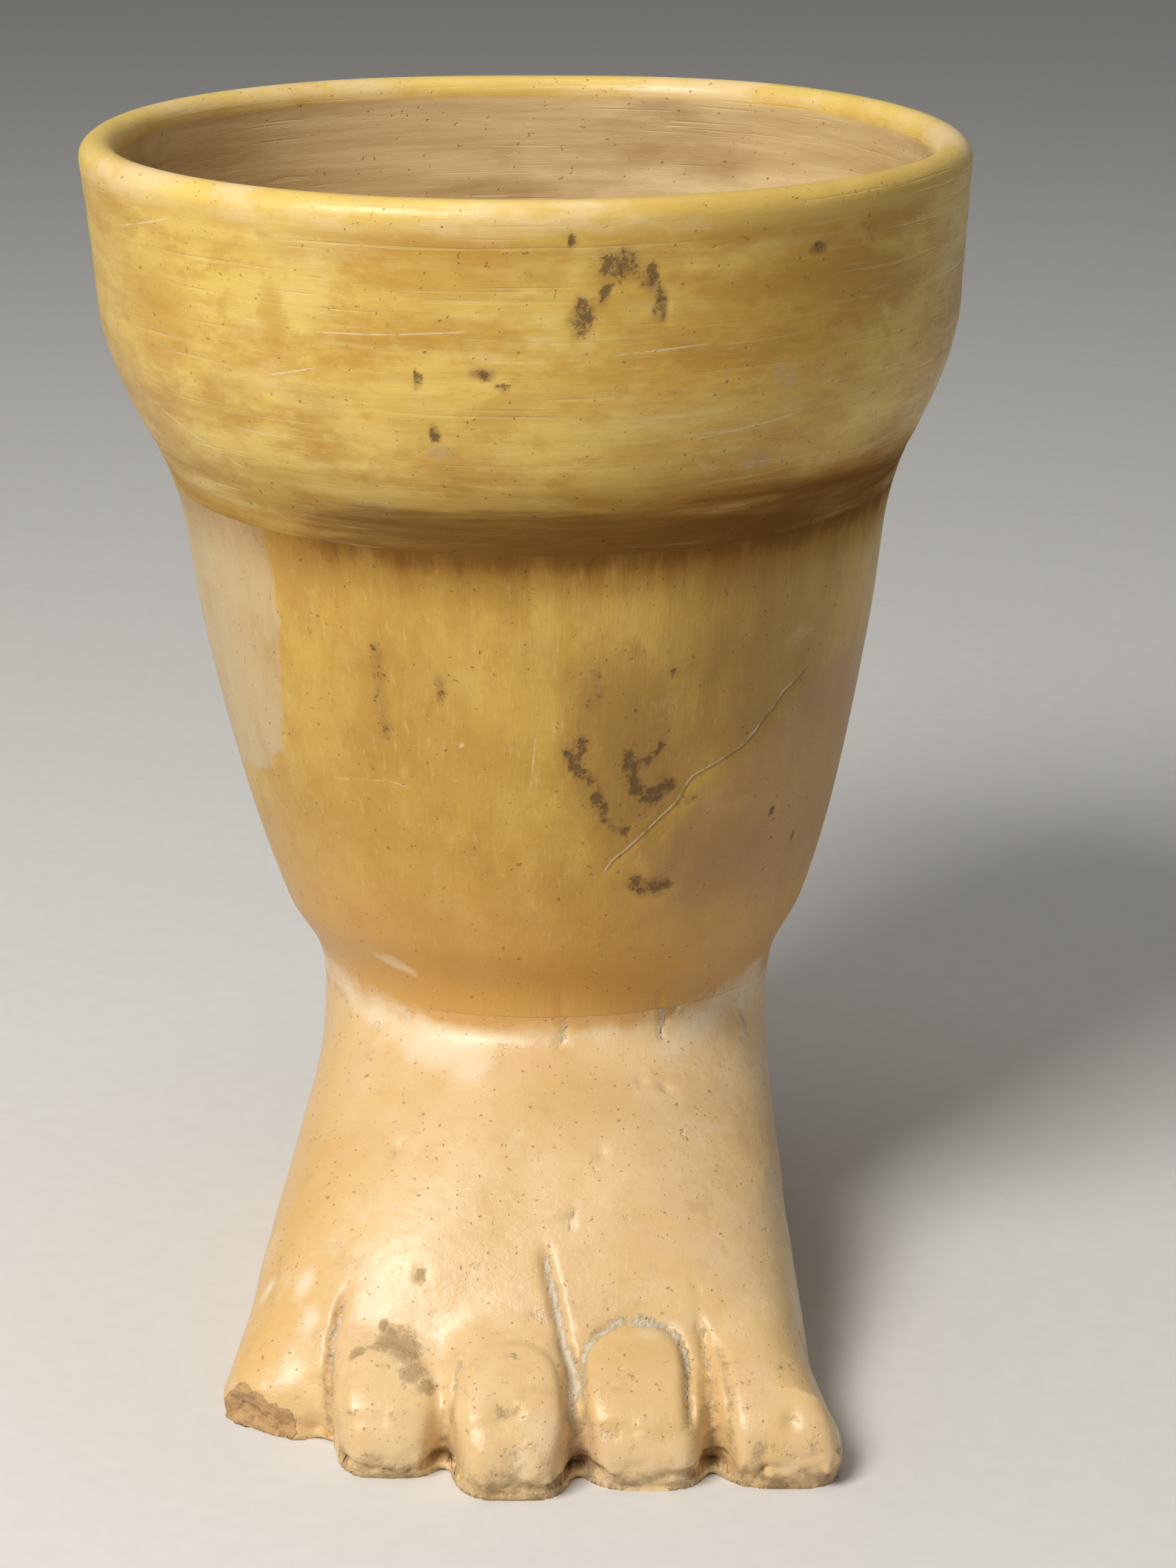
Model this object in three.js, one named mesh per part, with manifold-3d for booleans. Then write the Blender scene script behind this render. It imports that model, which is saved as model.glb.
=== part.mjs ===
// A foot-shaped ceramic vessel: the leg is a tall cup with a wide collar, and it stands on a right foot.
// Millimetres, +Z up, toes towards -Y, big toe towards +X. The origin is on the cup's axis, at the floor.
// Each mesh is one of the clay pieces that were joined with slip before the firing.
import * as THREE from "three";
import { mergeVertices } from "three/addons/utils/BufferGeometryUtils.js";
import Module from "manifold-3d";

// Sizes of the clay
const HEIGHT = 181; // floor to the top of the lip
const WALL = 6.5; // thickness of the wall
const SLIP = 0.3; // layer of slip between two joined pieces

// Collar and lip
const LIP_FLARE = 1.4; // the lip stands out past the collar
const LIP_WALL = 5.6; // thickness of the rounded lip
const LIP_HEIGHT = 8; // coil that finishes the mouth
const COLLAR_HEIGHT = 51; // groove to the top of the lip
const COLLAR_RADIUS = 66.2; // outside, where the underside has turned upright
const COLLAR_ROUND = 28; // height of the rounded underside
const COLLAR_TURN = 17.5; // height at which the underside turns
const GROOVE_RADIUS = 55.8; // outside, where the collar meets the leg
const SCARF = 5; // rise of the slanted joint between the collar and the leg

// Leg and ankle
const CALF_RADIUS = 50; // pull of the leg's outline, outwards
const CALF_RISE = 28; // pull of the leg's outline, above the ankle
const ANKLE_RADIUS = 36.8; // outside of the ankle
const ANKLE_HEIGHT = 45; // joint between the leg and the foot, at its sides
const CREASE_RISE = 4.5; // the joint rises this much to the front, and falls as much to the back
const ANKLE_SHIFT = 2.6; // the cup leans: the ankle stands this far towards the big toe
const BEAD_HALF = 2.2; // half height of the bead of clay in the ankle's crease
const BEAD_DEPTH = 2.6; // depth of the groove that holds the bead
const BEAD_PROUD = 0.4; // how far the bead stands out of the groove
const ANKLE_COIL_HALF = 6; // half height of the coil pressed over the joint inside
const ANKLE_COIL_BULGE = 3.5; // how far that coil stands out

// Foot
const SOLE_THICKNESS = 4; // slab under the foot and the toes
const SOLE_LEDGE = 0.6; // slab left standing out round the foot
const FOOT_REACH = 84; // axis to the front of the foot's wall, at the sole
const FOOT_HALF_WIDTH = 38.4; // at the axis, at the sole
const FOOT_SHIFT = 0; // the foot's middle stands this far towards the big toe, at the sole
const ROOT_OVERHANG = 2; // outer toes stand out past the foot's wall
const FRONT_SQUARENESS = 5; // superellipse exponent of the front of the sole
const LITTLE_TOE_SETBACK = 22; // front of the foot falls back at the little toe
const INSTEP_FLAT = 18; // pull of the instep's outline, in front of the ankle
const TOE_ROOT_RISE = 7; // pull of the instep's outline, above the sole
const HEEL_REACH = 44; // axis to the back of the heel, at the sole
const HEEL_BULGE = 5; // the heel swells this far past its foot
const HEEL_RISE = 14; // pull of the heel's outline, above the sole
const SOLE_COIL = 5; // coil pressed into the corner over the sole

// Toes; a tip counts from the front of the foot's wall
const LITTLE_TOE_WIDTH = 18.4;
const LITTLE_TOE_LENGTH = 32;
const LITTLE_TOE_HEIGHT = 12;
const LITTLE_TOE_TIP = -7.8;
const FOURTH_TOE_WIDTH = 16.4;
const FOURTH_TOE_LENGTH = 36;
const FOURTH_TOE_HEIGHT = 13.5;
const FOURTH_TOE_TIP = 4.2;
const MIDDLE_TOE_WIDTH = 17.6;
const MIDDLE_TOE_LENGTH = 40;
const MIDDLE_TOE_HEIGHT = 14.5;
const MIDDLE_TOE_TIP = 10.4;
const SECOND_TOE_WIDTH = 19.4;
const SECOND_TOE_LENGTH = 38;
const SECOND_TOE_HEIGHT = 14.5;
const SECOND_TOE_TIP = 7.6;
const BIG_TOE_WIDTH = 18.6;
const BIG_TOE_LENGTH = 32;
const BIG_TOE_HEIGHT = 14;
const BIG_TOE_TIP = 7;
const TOE_GAP = 0.4; // between two toes
const TOE_SHIFT = -0.2; // the row's middle stands this far towards the big toe
const TOE_SQUARENESS = 3; // superellipsoid exponent of a toe
const TOE_TAPER = 0.3; // share of its width that a toe loses behind its middle
const TOE_DROOP = 3; // the tip lies this much lower than the toe's middle
const TOE_SEAT = 4; // middle of a toe above the top of the sole
const FAN_LEAN = 0.06; // all toes lean towards the big toe's side
const FAN_SPREAD = 0.0035; // and spread, for each millimetre from the axis

// Fineness
const RING_STEPS = 48;
const CURVE_STEPS = 8;
const ROUND_STEPS = 6;
const TOE_STEPS = 20;

// Where pieces meet
const LIP_RADIUS = COLLAR_RADIUS + LIP_FLARE;
const GROOVE_Z = HEIGHT - COLLAR_HEIGHT;
const LIP_Z = HEIGHT - LIP_HEIGHT;
const SOLE_TOP = SOLE_THICKNESS + SLIP;
const FOOT_TOP = ANKLE_HEIGHT - BEAD_HALF;

const OCHRE = { color: 0xc69c48, roughness: 0.4, metalness: 0 };
const PEACH = { color: 0xdcb884, roughness: 0.45, metalness: 0 };
const PALE_CLAY = { color: 0xd9c7a6, roughness: 0.75, metalness: 0 };
const BARE_CLAY = { color: 0xb89a68, roughness: 0.8, metalness: 0 };

const wasm = await Module();
wasm.setup();

const vessel = new THREE.Group();

function addPiece(name, geometry, look) {
  const mesh = new THREE.Mesh(geometry, new THREE.MeshStandardMaterial(look));
  mesh.name = name;
  vessel.add(mesh);
}

const point = (radius, height) => new THREE.Vector2(radius, height);

// Radius of a rising outline at a height
function radiusAt(outline, height) {
  let low = 0;
  let high = 1;
  for (let halving = 0; halving < 40; halving += 1) {
    const middle = (low + high) / 2;
    if (outline.getPoint(middle).y < height) {
      low = middle;
    } else {
      high = middle;
    }
  }
  return outline.getPoint(low).x;
}

// A ring of clay turned about the axis: the outline goes up the outside and down the inside
function turned(outline) {
  const geometry = new THREE.LatheGeometry([...outline, outline[0]], RING_STEPS);
  return settled(geometry.rotateX(Math.PI / 2));
}

// Rise of the slanted ankle joint at a place round it
function slantAt(x, y) {
  return (CREASE_RISE * -y) / Math.hypot(x - ANKLE_SHIFT, y);
}

// Leans a turned piece from the mouth to the ankle, and slants it near the ankle's joint
function settled(geometry) {
  const { clamp, smoothstep } = THREE.MathUtils;
  const place = geometry.attributes.position;
  for (let i = 0; i < place.count; i += 1) {
    const z = place.getZ(i);
    const lean = clamp((HEIGHT - z) / (HEIGHT - ANKLE_HEIGHT), 0, 1);
    const x = place.getX(i) + ANKLE_SHIFT * lean;
    const share = 1 - smoothstep(z, ANKLE_HEIGHT + ANKLE_COIL_HALF, GROOVE_Z);
    place.setX(i, x);
    place.setZ(i, z + slantAt(x, place.getY(i)) * share);
  }
  return geometry;
}

function meshOf(positions, triangles) {
  const geometry = new THREE.BufferGeometry();
  geometry.setAttribute("position", new THREE.Float32BufferAttribute(positions, 3));
  geometry.setIndex(triangles);
  return geometry;
}

const coordinates = (points) => points.flatMap((p) => [p.x, p.y, p.z]);

// Triangles between two rings of a loft, facing out when the rings run up the outside
function band(lower, upper, steps) {
  const triangles = [];
  for (let i = 0; i < steps; i += 1) {
    const j = (i + 1) % steps;
    const [a, b] = [lower * steps + i, lower * steps + j];
    const [c, d] = [upper * steps + j, upper * steps + i];
    triangles.push(a, b, c, a, c, d);
  }
  return triangles;
}

// A wall through rings of points; the rings run up the outside and down the inside, and close
function lofted(rings) {
  const triangles = rings.flatMap((ring, k) => band(k, (k + 1) % rings.length, ring.length));
  return meshOf(coordinates(rings.flat()), triangles);
}

// A full body through rings of points, with a flat cap at the bottom and at the top
function filled(rings) {
  const steps = rings[0].length;
  const last = rings.length - 1;
  const middleOf = (ring) => new THREE.Box3().setFromPoints(ring).getCenter(new THREE.Vector3());
  const bottom = rings.length * steps;
  const triangles = rings.slice(1).flatMap((_, k) => band(k, k + 1, steps));
  for (let i = 0; i < steps; i += 1) {
    const j = (i + 1) % steps;
    triangles.push(bottom, j, i);
    triangles.push(bottom + 1, last * steps + i, last * steps + j);
  }
  const points = [...rings.flat(), middleOf(rings[0]), middleOf(rings[last])];
  return meshOf(coordinates(points), triangles);
}

function solid(geometry) {
  const bare = geometry.clone();
  bare.deleteAttribute("normal");
  bare.deleteAttribute("uv");
  const merged = mergeVertices(bare, 1e-4);
  const vertProperties = new Float32Array(merged.attributes.position.array);
  const triVerts = new Uint32Array(merged.index.array);
  return new wasm.Manifold(new wasm.Mesh({ numProp: 3, vertProperties, triVerts }));
}

function geometryOf(body) {
  const mesh = body.getMesh();
  return meshOf(mesh.vertProperties, [...mesh.triVerts]);
}

// A flat piece of the sole, standing on the floor
function soleSolid(outline) {
  const shape = new THREE.Shape(outline.map((p) => point(p.x, p.y)));
  return solid(new THREE.ExtrudeGeometry(shape, { depth: SOLE_THICKNESS, bevelEnabled: false }));
}

// A value's size raised to an exponent, with the value's sign
const signedPower = (value, exponent) => Math.sign(value) * Math.abs(value) ** exponent;

// Lip: a coil with a round top
function lipGeometry(baseRadius) {
  const round = LIP_WALL / 2;
  const crown = new THREE.EllipseCurve(LIP_RADIUS - round, HEIGHT - round, round, round, 0, Math.PI);
  return turned([
    point(baseRadius, LIP_Z + SLIP),
    ...crown.getPoints(2 * ROUND_STEPS),
    point(baseRadius - LIP_WALL, LIP_Z + SLIP),
  ]);
}

// Collar: the underside turns out from the groove, then the wall rises to the lip
function collarGeometry(lipBase) {
  const inner = COLLAR_RADIUS - WALL;
  const outside = new THREE.QuadraticBezierCurve(
    point(GROOVE_RADIUS, GROOVE_Z + SLIP),
    point(COLLAR_RADIUS, GROOVE_Z + COLLAR_TURN),
    point(COLLAR_RADIUS, GROOVE_Z + COLLAR_ROUND),
  );
  const inside = new THREE.QuadraticBezierCurve(
    point(inner, GROOVE_Z + COLLAR_ROUND),
    point(inner, GROOVE_Z + COLLAR_TURN + SCARF),
    point(GROOVE_RADIUS - WALL, GROOVE_Z + SCARF + SLIP),
  );
  return turned([
    ...outside.getPoints(CURVE_STEPS),
    point(lipBase, LIP_Z),
    point(lipBase - LIP_WALL, LIP_Z),
    ...inside.getPoints(CURVE_STEPS),
  ]);
}

const legOutside = new THREE.QuadraticBezierCurve(
  point(ANKLE_RADIUS, ANKLE_HEIGHT + BEAD_HALF),
  point(CALF_RADIUS, ANKLE_HEIGHT + CALF_RISE),
  point(GROOVE_RADIUS, GROOVE_Z),
);
const legInside = new THREE.QuadraticBezierCurve(
  point(ANKLE_RADIUS - WALL, ANKLE_HEIGHT + SLIP / 2),
  point(CALF_RADIUS - WALL, ANKLE_HEIGHT + CALF_RISE),
  point(GROOVE_RADIUS - WALL, GROOVE_Z + SCARF),
);

// Leg: its lower edge is cut back for the bead
function legGeometry() {
  return turned([
    point(ANKLE_RADIUS - BEAD_DEPTH, ANKLE_HEIGHT + SLIP / 2),
    ...legOutside.getPoints(CURVE_STEPS),
    ...legInside.getPoints(CURVE_STEPS).reverse(),
  ]);
}

// Bead of clay pressed into the crease between the leg and the foot
function beadGeometry() {
  return turned([
    point(ANKLE_RADIUS - BEAD_DEPTH + SLIP, ANKLE_HEIGHT),
    point(ANKLE_RADIUS, FOOT_TOP + SLIP),
    point(ANKLE_RADIUS + BEAD_PROUD, ANKLE_HEIGHT),
    point(ANKLE_RADIUS, ANKLE_HEIGHT + BEAD_HALF - SLIP),
  ]);
}

// Coil pressed over the same joint inside the vessel
function ankleCoilGeometry() {
  const throat = ANKLE_RADIUS - WALL - SLIP;
  const top = ANKLE_HEIGHT + ANKLE_COIL_HALF;
  const upper = radiusAt(legInside, top) - SLIP;
  const swell = new THREE.QuadraticBezierCurve(
    point(upper, top),
    point(throat - 2 * ANKLE_COIL_BULGE, ANKLE_HEIGHT),
    point(throat, ANKLE_HEIGHT - ANKLE_COIL_HALF),
  );
  return turned([point(throat, ANKLE_HEIGHT), ...swell.getPoints(ROUND_STEPS)]);
}

// The row of toes, from the little toe's outer side to the big toe's
const toeOf = (name, width, length, height, tip) => ({ name, width, length, height, tip });
const TOES = [
  toeOf("little_toe", LITTLE_TOE_WIDTH, LITTLE_TOE_LENGTH, LITTLE_TOE_HEIGHT, LITTLE_TOE_TIP),
  toeOf("fourth_toe", FOURTH_TOE_WIDTH, FOURTH_TOE_LENGTH, FOURTH_TOE_HEIGHT, FOURTH_TOE_TIP),
  toeOf("middle_toe", MIDDLE_TOE_WIDTH, MIDDLE_TOE_LENGTH, MIDDLE_TOE_HEIGHT, MIDDLE_TOE_TIP),
  toeOf("second_toe", SECOND_TOE_WIDTH, SECOND_TOE_LENGTH, SECOND_TOE_HEIGHT, SECOND_TOE_TIP),
  toeOf("big_toe", BIG_TOE_WIDTH, BIG_TOE_LENGTH, BIG_TOE_HEIGHT, BIG_TOE_TIP),
];
const rowWidth = TOES.reduce((sum, toe) => sum + toe.width, 0) + TOE_GAP * (TOES.length - 1);
const rootHalfWidth = rowWidth / 2 - ROOT_OVERHANG;

// A ring round the foot at one height, seen from above: square towards the toes, round at the heel
function footRing({ front, back, height, inset }) {
  const rise = Math.min((height - SOLE_TOP) / (FOOT_TOP - SOLE_TOP), 1);
  const mix = (sole, ankle) => THREE.MathUtils.lerp(sole, ankle, THREE.MathUtils.smoothstep(rise, 0, 1));
  const middle = mix(FOOT_SHIFT, ANKLE_SHIFT);
  const waist = mix(FOOT_HALF_WIDTH, ANKLE_RADIUS) - inset;
  const root = mix(rootHalfWidth, ANKLE_RADIUS) - inset;
  const setback = mix(LITTLE_TOE_SETBACK / FOOT_REACH, 0);
  const ring = [];
  for (let i = 0; i < RING_STEPS; i += 1) {
    const turn = (2 * Math.PI * i) / RING_STEPS;
    const forward = Math.sin(turn) < 0;
    const power = 2 / (forward ? mix(FRONT_SQUARENESS, 2) : 2);
    const across = signedPower(Math.cos(turn), power);
    const along = signedPower(Math.sin(turn), power);
    const flare = forward ? THREE.MathUtils.smoothstep(-along, 0, 1) : 0;
    const fall = across < 0 ? 1 - setback * across ** 2 : 1;
    const x = middle + (waist + (root - waist) * flare) * across;
    const y = (forward ? front * fall : back) * along;
    ring.push(new THREE.Vector3(x, y, height + slantAt(x, y) * rise ** 3));
  }
  return ring;
}

// Outline of the foot along its middle, grown (or cut back when negative) by a margin
function instepOutline(margin, top) {
  return new THREE.CubicBezierCurve(
    point(FOOT_REACH + margin, SOLE_TOP),
    point(FOOT_REACH + margin, SOLE_TOP + TOE_ROOT_RISE),
    point(ANKLE_RADIUS + INSTEP_FLAT + margin, top),
    point(ANKLE_RADIUS + margin, top),
  );
}

function heelOutline(margin) {
  return new THREE.CubicBezierCurve(
    point(HEEL_REACH + margin, SOLE_TOP),
    point(HEEL_REACH + HEEL_BULGE + margin, SOLE_TOP + HEEL_RISE),
    point(ANKLE_RADIUS + margin, FOOT_TOP - HEEL_RISE),
    point(ANKLE_RADIUS + margin, FOOT_TOP),
  );
}

// Rings up the foot's outside or inside
function footRings(margin, top) {
  const heel = heelOutline(margin);
  const instep = instepOutline(margin, top);
  return instep.getPoints(CURVE_STEPS).map((p) =>
    footRing({ front: p.x, back: radiusAt(heel, p.y), height: p.y, inset: -margin }),
  );
}

// A ring of the ankle's joint
const ankleRing = (radius, height) =>
  footRing({ front: radius, back: radius, height, inset: ANKLE_RADIUS - radius });

// Instep and heel: a hollow shell from the sole to the ankle
function footGeometry() {
  const top = ANKLE_HEIGHT - SLIP / 2;
  return lofted([
    ...footRings(0, FOOT_TOP),
    ankleRing(ANKLE_RADIUS - BEAD_DEPTH, top),
    ankleRing(ANKLE_RADIUS - WALL, top),
    ...footRings(-WALL, FOOT_TOP - WALL).reverse(),
  ]);
}

// Coil pressed into the corner between the sole and the foot's wall
function soleCoilGeometry() {
  const heel = heelOutline(-WALL);
  const instep = instepOutline(-WALL, FOOT_TOP - WALL);
  const ringAt = (height, retreat) => {
    const front = radiusAt(instep, height) - retreat;
    const back = radiusAt(heel, height) - retreat;
    return footRing({ front, back, height, inset: WALL + retreat });
  };
  const round = new THREE.EllipseCurve(SLIP, SOLE_TOP, SOLE_COIL, SOLE_COIL, Math.PI / 2, 0, true);
  return lofted([
    ringAt(SOLE_TOP, SLIP),
    ...round.getPoints(ROUND_STEPS).map((p) => ringAt(p.y, p.x)),
  ]);
}

// A place on a toe, from shares of its half width and half length; the row fans out in front of the foot
function toePlace(toe, across, along) {
  const y = toe.y + (toe.length / 2) * along;
  const half = (toe.width / 2) * (1 - TOE_TAPER * Math.max(along, 0));
  const x = toe.x + half * across;
  return { x: x - (y + FOOT_REACH) * (FAN_LEAN + FAN_SPREAD * x), y };
}

// Middle of each toe in the row, from the little toe to the big toe
function placedToes() {
  let left = TOE_SHIFT - rowWidth / 2;
  return TOES.map((toe) => {
    const x = left + toe.width / 2;
    left += toe.width + TOE_GAP;
    return { ...toe, x, y: -(FOOT_REACH + toe.tip) + toe.length / 2 };
  });
}

// A toe: a rounded lobe with a flat underside, cut to the foot's wall behind it
function toeGeometry(toe, foot) {
  const geometry = new THREE.SphereGeometry(1, TOE_STEPS, TOE_STEPS);
  const place = geometry.attributes.position;
  const p = new THREE.Vector3();
  for (let i = 0; i < place.count; i += 1) {
    p.fromBufferAttribute(place, i);
    const size = p.toArray().reduce((sum, side) => sum + Math.abs(side) ** TOE_SQUARENESS, 0);
    p.divideScalar(size ** (1 / TOE_SQUARENESS));
    const { x, y } = toePlace(toe, p.x, p.y);
    const z = SOLE_TOP + TOE_SEAT + (toe.height - TOE_SEAT) * p.z + TOE_DROOP * p.y;
    place.setXYZ(i, x, y, Math.max(z, SOLE_TOP));
  }
  return geometryOf(solid(geometry).subtract(foot));
}

// Sole: one slab under the foot and under every toe
function soleGeometry(toes) {
  const [ring] = footRings(SOLE_LEDGE, FOOT_TOP);
  let slab = soleSolid(ring);
  for (const toe of toes) {
    const outline = Array.from({ length: TOE_STEPS }, (_, i) => {
      const turn = (2 * Math.PI * i) / TOE_STEPS;
      const across = signedPower(Math.cos(turn), 2 / TOE_SQUARENESS);
      const along = signedPower(Math.sin(turn), 2 / TOE_SQUARENESS);
      return toePlace(toe, across * (1 + TOE_GAP / toe.width), along);
    });
    slab = slab.add(soleSolid(outline));
  }
  return geometryOf(slab);
}

// Radius of the collar's outside where the lip coil sits
const upright = (LIP_Z - GROOVE_Z - COLLAR_ROUND) / (COLLAR_HEIGHT - COLLAR_ROUND);
const lipBase = THREE.MathUtils.lerp(COLLAR_RADIUS, LIP_RADIUS, upright);

const toes = placedToes();
const grown = footRings(SLIP, FOOT_TOP + SLIP);
const below = grown[0].map((p) => new THREE.Vector3(p.x, p.y, 0));
const footMass = solid(filled([below, ...grown]));

addPiece("rim_coil", lipGeometry(lipBase), OCHRE);
addPiece("collar_band", collarGeometry(lipBase), OCHRE);
addPiece("leg_wall", legGeometry(), OCHRE);
addPiece("ankle_bead", beadGeometry(), PALE_CLAY);
addPiece("ankle_seam_coil", ankleCoilGeometry(), BARE_CLAY);
addPiece("foot_shell", footGeometry(), PEACH);
addPiece("sole_seam_coil", soleCoilGeometry(), BARE_CLAY);
addPiece("sole_slab", soleGeometry(toes), PEACH);
for (const toe of toes) {
  addPiece(toe.name, toeGeometry(toe, footMass), PEACH);
}

export default vessel;
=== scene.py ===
"""A foot-shaped earthenware cup in burnished slip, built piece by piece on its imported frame."""

import math

import bmesh
import bpy
from bpy.props import FloatProperty, FloatVectorProperty, PointerProperty
from mathutils import Color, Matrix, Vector, noise
from mathutils.bvhtree import BVHTree
from mathutils.geometry import interpolate_bezier


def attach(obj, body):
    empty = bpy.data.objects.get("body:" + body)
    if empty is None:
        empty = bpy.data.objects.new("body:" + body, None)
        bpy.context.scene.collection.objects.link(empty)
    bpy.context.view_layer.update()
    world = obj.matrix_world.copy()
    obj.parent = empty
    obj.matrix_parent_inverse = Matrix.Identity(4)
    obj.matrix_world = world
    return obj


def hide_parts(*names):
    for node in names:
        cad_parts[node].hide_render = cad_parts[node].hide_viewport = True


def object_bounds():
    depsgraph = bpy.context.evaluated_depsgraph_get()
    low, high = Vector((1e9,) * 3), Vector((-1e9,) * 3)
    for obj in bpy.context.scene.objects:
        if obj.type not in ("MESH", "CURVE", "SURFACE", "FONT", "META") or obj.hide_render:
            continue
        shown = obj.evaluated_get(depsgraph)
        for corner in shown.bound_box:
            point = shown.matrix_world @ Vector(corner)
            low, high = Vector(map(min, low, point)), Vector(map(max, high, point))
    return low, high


bl_info = {
    "name": "Foot-shaped vessel",
    "version": (1, 0, 0),
    "blender": (4, 5, 0),
    "location": "3D View > Sidebar > Vessel",
    "description": "Builds a hand-made clay cup in the shape of a leg and foot",
    "category": "Object",
}

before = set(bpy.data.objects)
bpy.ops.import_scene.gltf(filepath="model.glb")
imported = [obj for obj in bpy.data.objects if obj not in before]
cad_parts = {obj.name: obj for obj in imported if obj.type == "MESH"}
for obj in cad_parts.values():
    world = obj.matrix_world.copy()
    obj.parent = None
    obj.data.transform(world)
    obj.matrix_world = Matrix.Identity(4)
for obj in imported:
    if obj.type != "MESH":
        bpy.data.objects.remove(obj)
CAD_BOX = [list(corner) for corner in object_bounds()]
MM = 0.001

# Fineness of the clay walls
TURNS = 480
INNER_STEP = 3 * MM
OUTER_STEP = 0.9 * MM
FOOT_TURNS = 96
FOOT_LEVELS = 36
FOOT_GRAIN = 0.62 * MM
# Edges sharper than this stay sharp, and places nearer than this are one
SHARP = math.radians(55)
TOUCHING = 1e-6
# A cut face turns at least this far from the clay it cuts, as a cosine
CUT_TURN = 0.5

# How far from a path its marks may reach, how far from it a fine line is followed, and the length over which
# the line's ends fade, in mm
PATH_REACH = 6
LINE_REACH = 4
LINE_FADE = 3
# How far an unsteady hand strays and the spread of its straying, in mm
WAVER = 0.9
WAVER_SPREAD = 2.3
# How softly a mark fades past its half width
MARK_FADE = 2.2
# Tones of the fine lines: the crack, and scratches on collar and leg
CRACK_TONE = 1.0
COLLAR_TONE = 0.55
LEG_TONE = 0.45
# Luting is smeared no further than this from the ankle's joint, in mm
LUTING_REACH = 14
# Dents that a potter's hands leave: spread of the pattern per metre, depth, and shift of the pattern
HAND_DENTS = ((24, 0.5 * MM, Vector((0, 0, 0))), (75, 0.14 * MM, Vector((7, 3, 1))))

# Marks on the collar: degrees round from the front, height, half width and half height in mm
COLLAR_STAINS = (
    (11.6, 172.4, 3.4, 2.4), (7.4, 165.3, 2, 2.6), (9.8, 168.8, 1.2, 1.6), (15.6, 170.6, 1.2, 2.2),
    (16.6, 166.6, 1, 2.8), (6.2, 176, 0.9, 1.2), (-4.6, 157.4, 1.6, 0.9), (-2, 155.6, 1, 1),
    (-12.5, 156, 0.8, 1.6), (-11, 148.5, 0.9, 1.2), (38, 172.5, 1.6, 0.8),
)
COLLAR_BROWN = (
    (-31, 164, 2.2, 5), (11.5, 169, 6, 5.5), (40, 168, 16, 3), (-52, 161, 10, 7), (-8, 170, 9, 3),
    (22, 164, 12, 2.4),
)
COLLAR_WORN = ((34, 157, 6, 5), (30, 143, 12, 2.4), (-11, 146, 3.5, 2))
COLLAR_SCRATCHES = (
    ((-29, 162.2), (-17, 162.6), (-4.8, 163.6)),
    ((-61, 172), (-52, 174), (-46, 175.6)),
    ((-34, 155), (-24, 157.6)),
    ((10, 160), (24, 161)),
    ((20, 147), (38, 149.5)),
    ((-62, 148), (-40, 139)),
    ((41.6, 176.6), (42.2, 173.6)),
)
# Marks on the leg, measured in the same way
LEG_STREAKS = (
    (((7.9, 98.7), (7.8, 97)), 1.1, 0.95),
    (((5.7, 95.8), (7.2, 93.4), (8.7, 90.9)), 1.1, 0.95),
    (((10.5, 88.1), (11.4, 85.6)), 1, 0.9),
    (((11.9, 83.7), (13.3, 82.3), (15.5, 81.1)), 1, 0.85),
    (((16.2, 94.5), (16.5, 91.8), (17.3, 88.5)), 1.2, 0.9),
    (((18.5, 93.2), (20.5, 95), (21.7, 96.9)), 1.1, 0.75),
    (((19.8, 86.9), (20.8, 87.5), (23, 88.7)), 1.7, 0.95),
    (((25, 85.4), (29, 85.9)), 0.6, 0.7),
    (((6.5, 96), (9.5, 90), (13.5, 83)), 3, 0.45),
    (((17, 95.5), (20, 87.5)), 4.6, 0.5),
    (((18.2, 71.1), (20.1, 70.2), (24.3, 70.3)), 1.8, 0.8),
    (((9.3, 104.4), (10.1, 107)), 1.3, 0.55),
    (((22.7, 109.8), (22.7, 109)), 0.9, 0.8),
    (((9.9, 110.4), (9.9, 109.6)), 0.9, 0.7),
    (((48, 80.6), (48.4, 79.9)), 0.9, 0.8),
    (((56.9, 74.6), (57.2, 74)), 0.9, 0.8),
    (((-14.5, 109.2), (-14.5, 105.3)), 0.8, 0.7),
    (((-24.9, 112.6), (-25.2, 105), (-25.1, 97.7)), 1.4, 0.55),
)
LEG_CLOUDS = ((15, 97, 9, 16), (36, 74, 11, 7), (40, 112, 17, 18))
LEG_PALE = ((-11.3, 97.3, 0.5, 0.4), (-9.8, 79.6, 0.7, 0.4))
LEG_CRACK = (
    (52.3, 107), (49.2, 104.2), (45.3, 102.1), (43.4, 99.8), (41.6, 98.5), (39.9, 96.3), (37.7, 94.3),
    (34.8, 93), (30.1, 91), (27.9, 90.2), (26.4, 88.3), (25.2, 85.6), (22.1, 82.9), (19.2, 80.3),
    (16.3, 77.7), (13.7, 75.8), (11.3, 72.3),
)
LEG_SCRATCHES = (
    ((-15.5, 77.4), (-12.6, 76.2), (-10.2, 76.4)),
    ((0.5, 101), (-1, 88)),
    ((-40, 88), (-26, 89.5), (-20, 88.2)),
)
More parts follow.
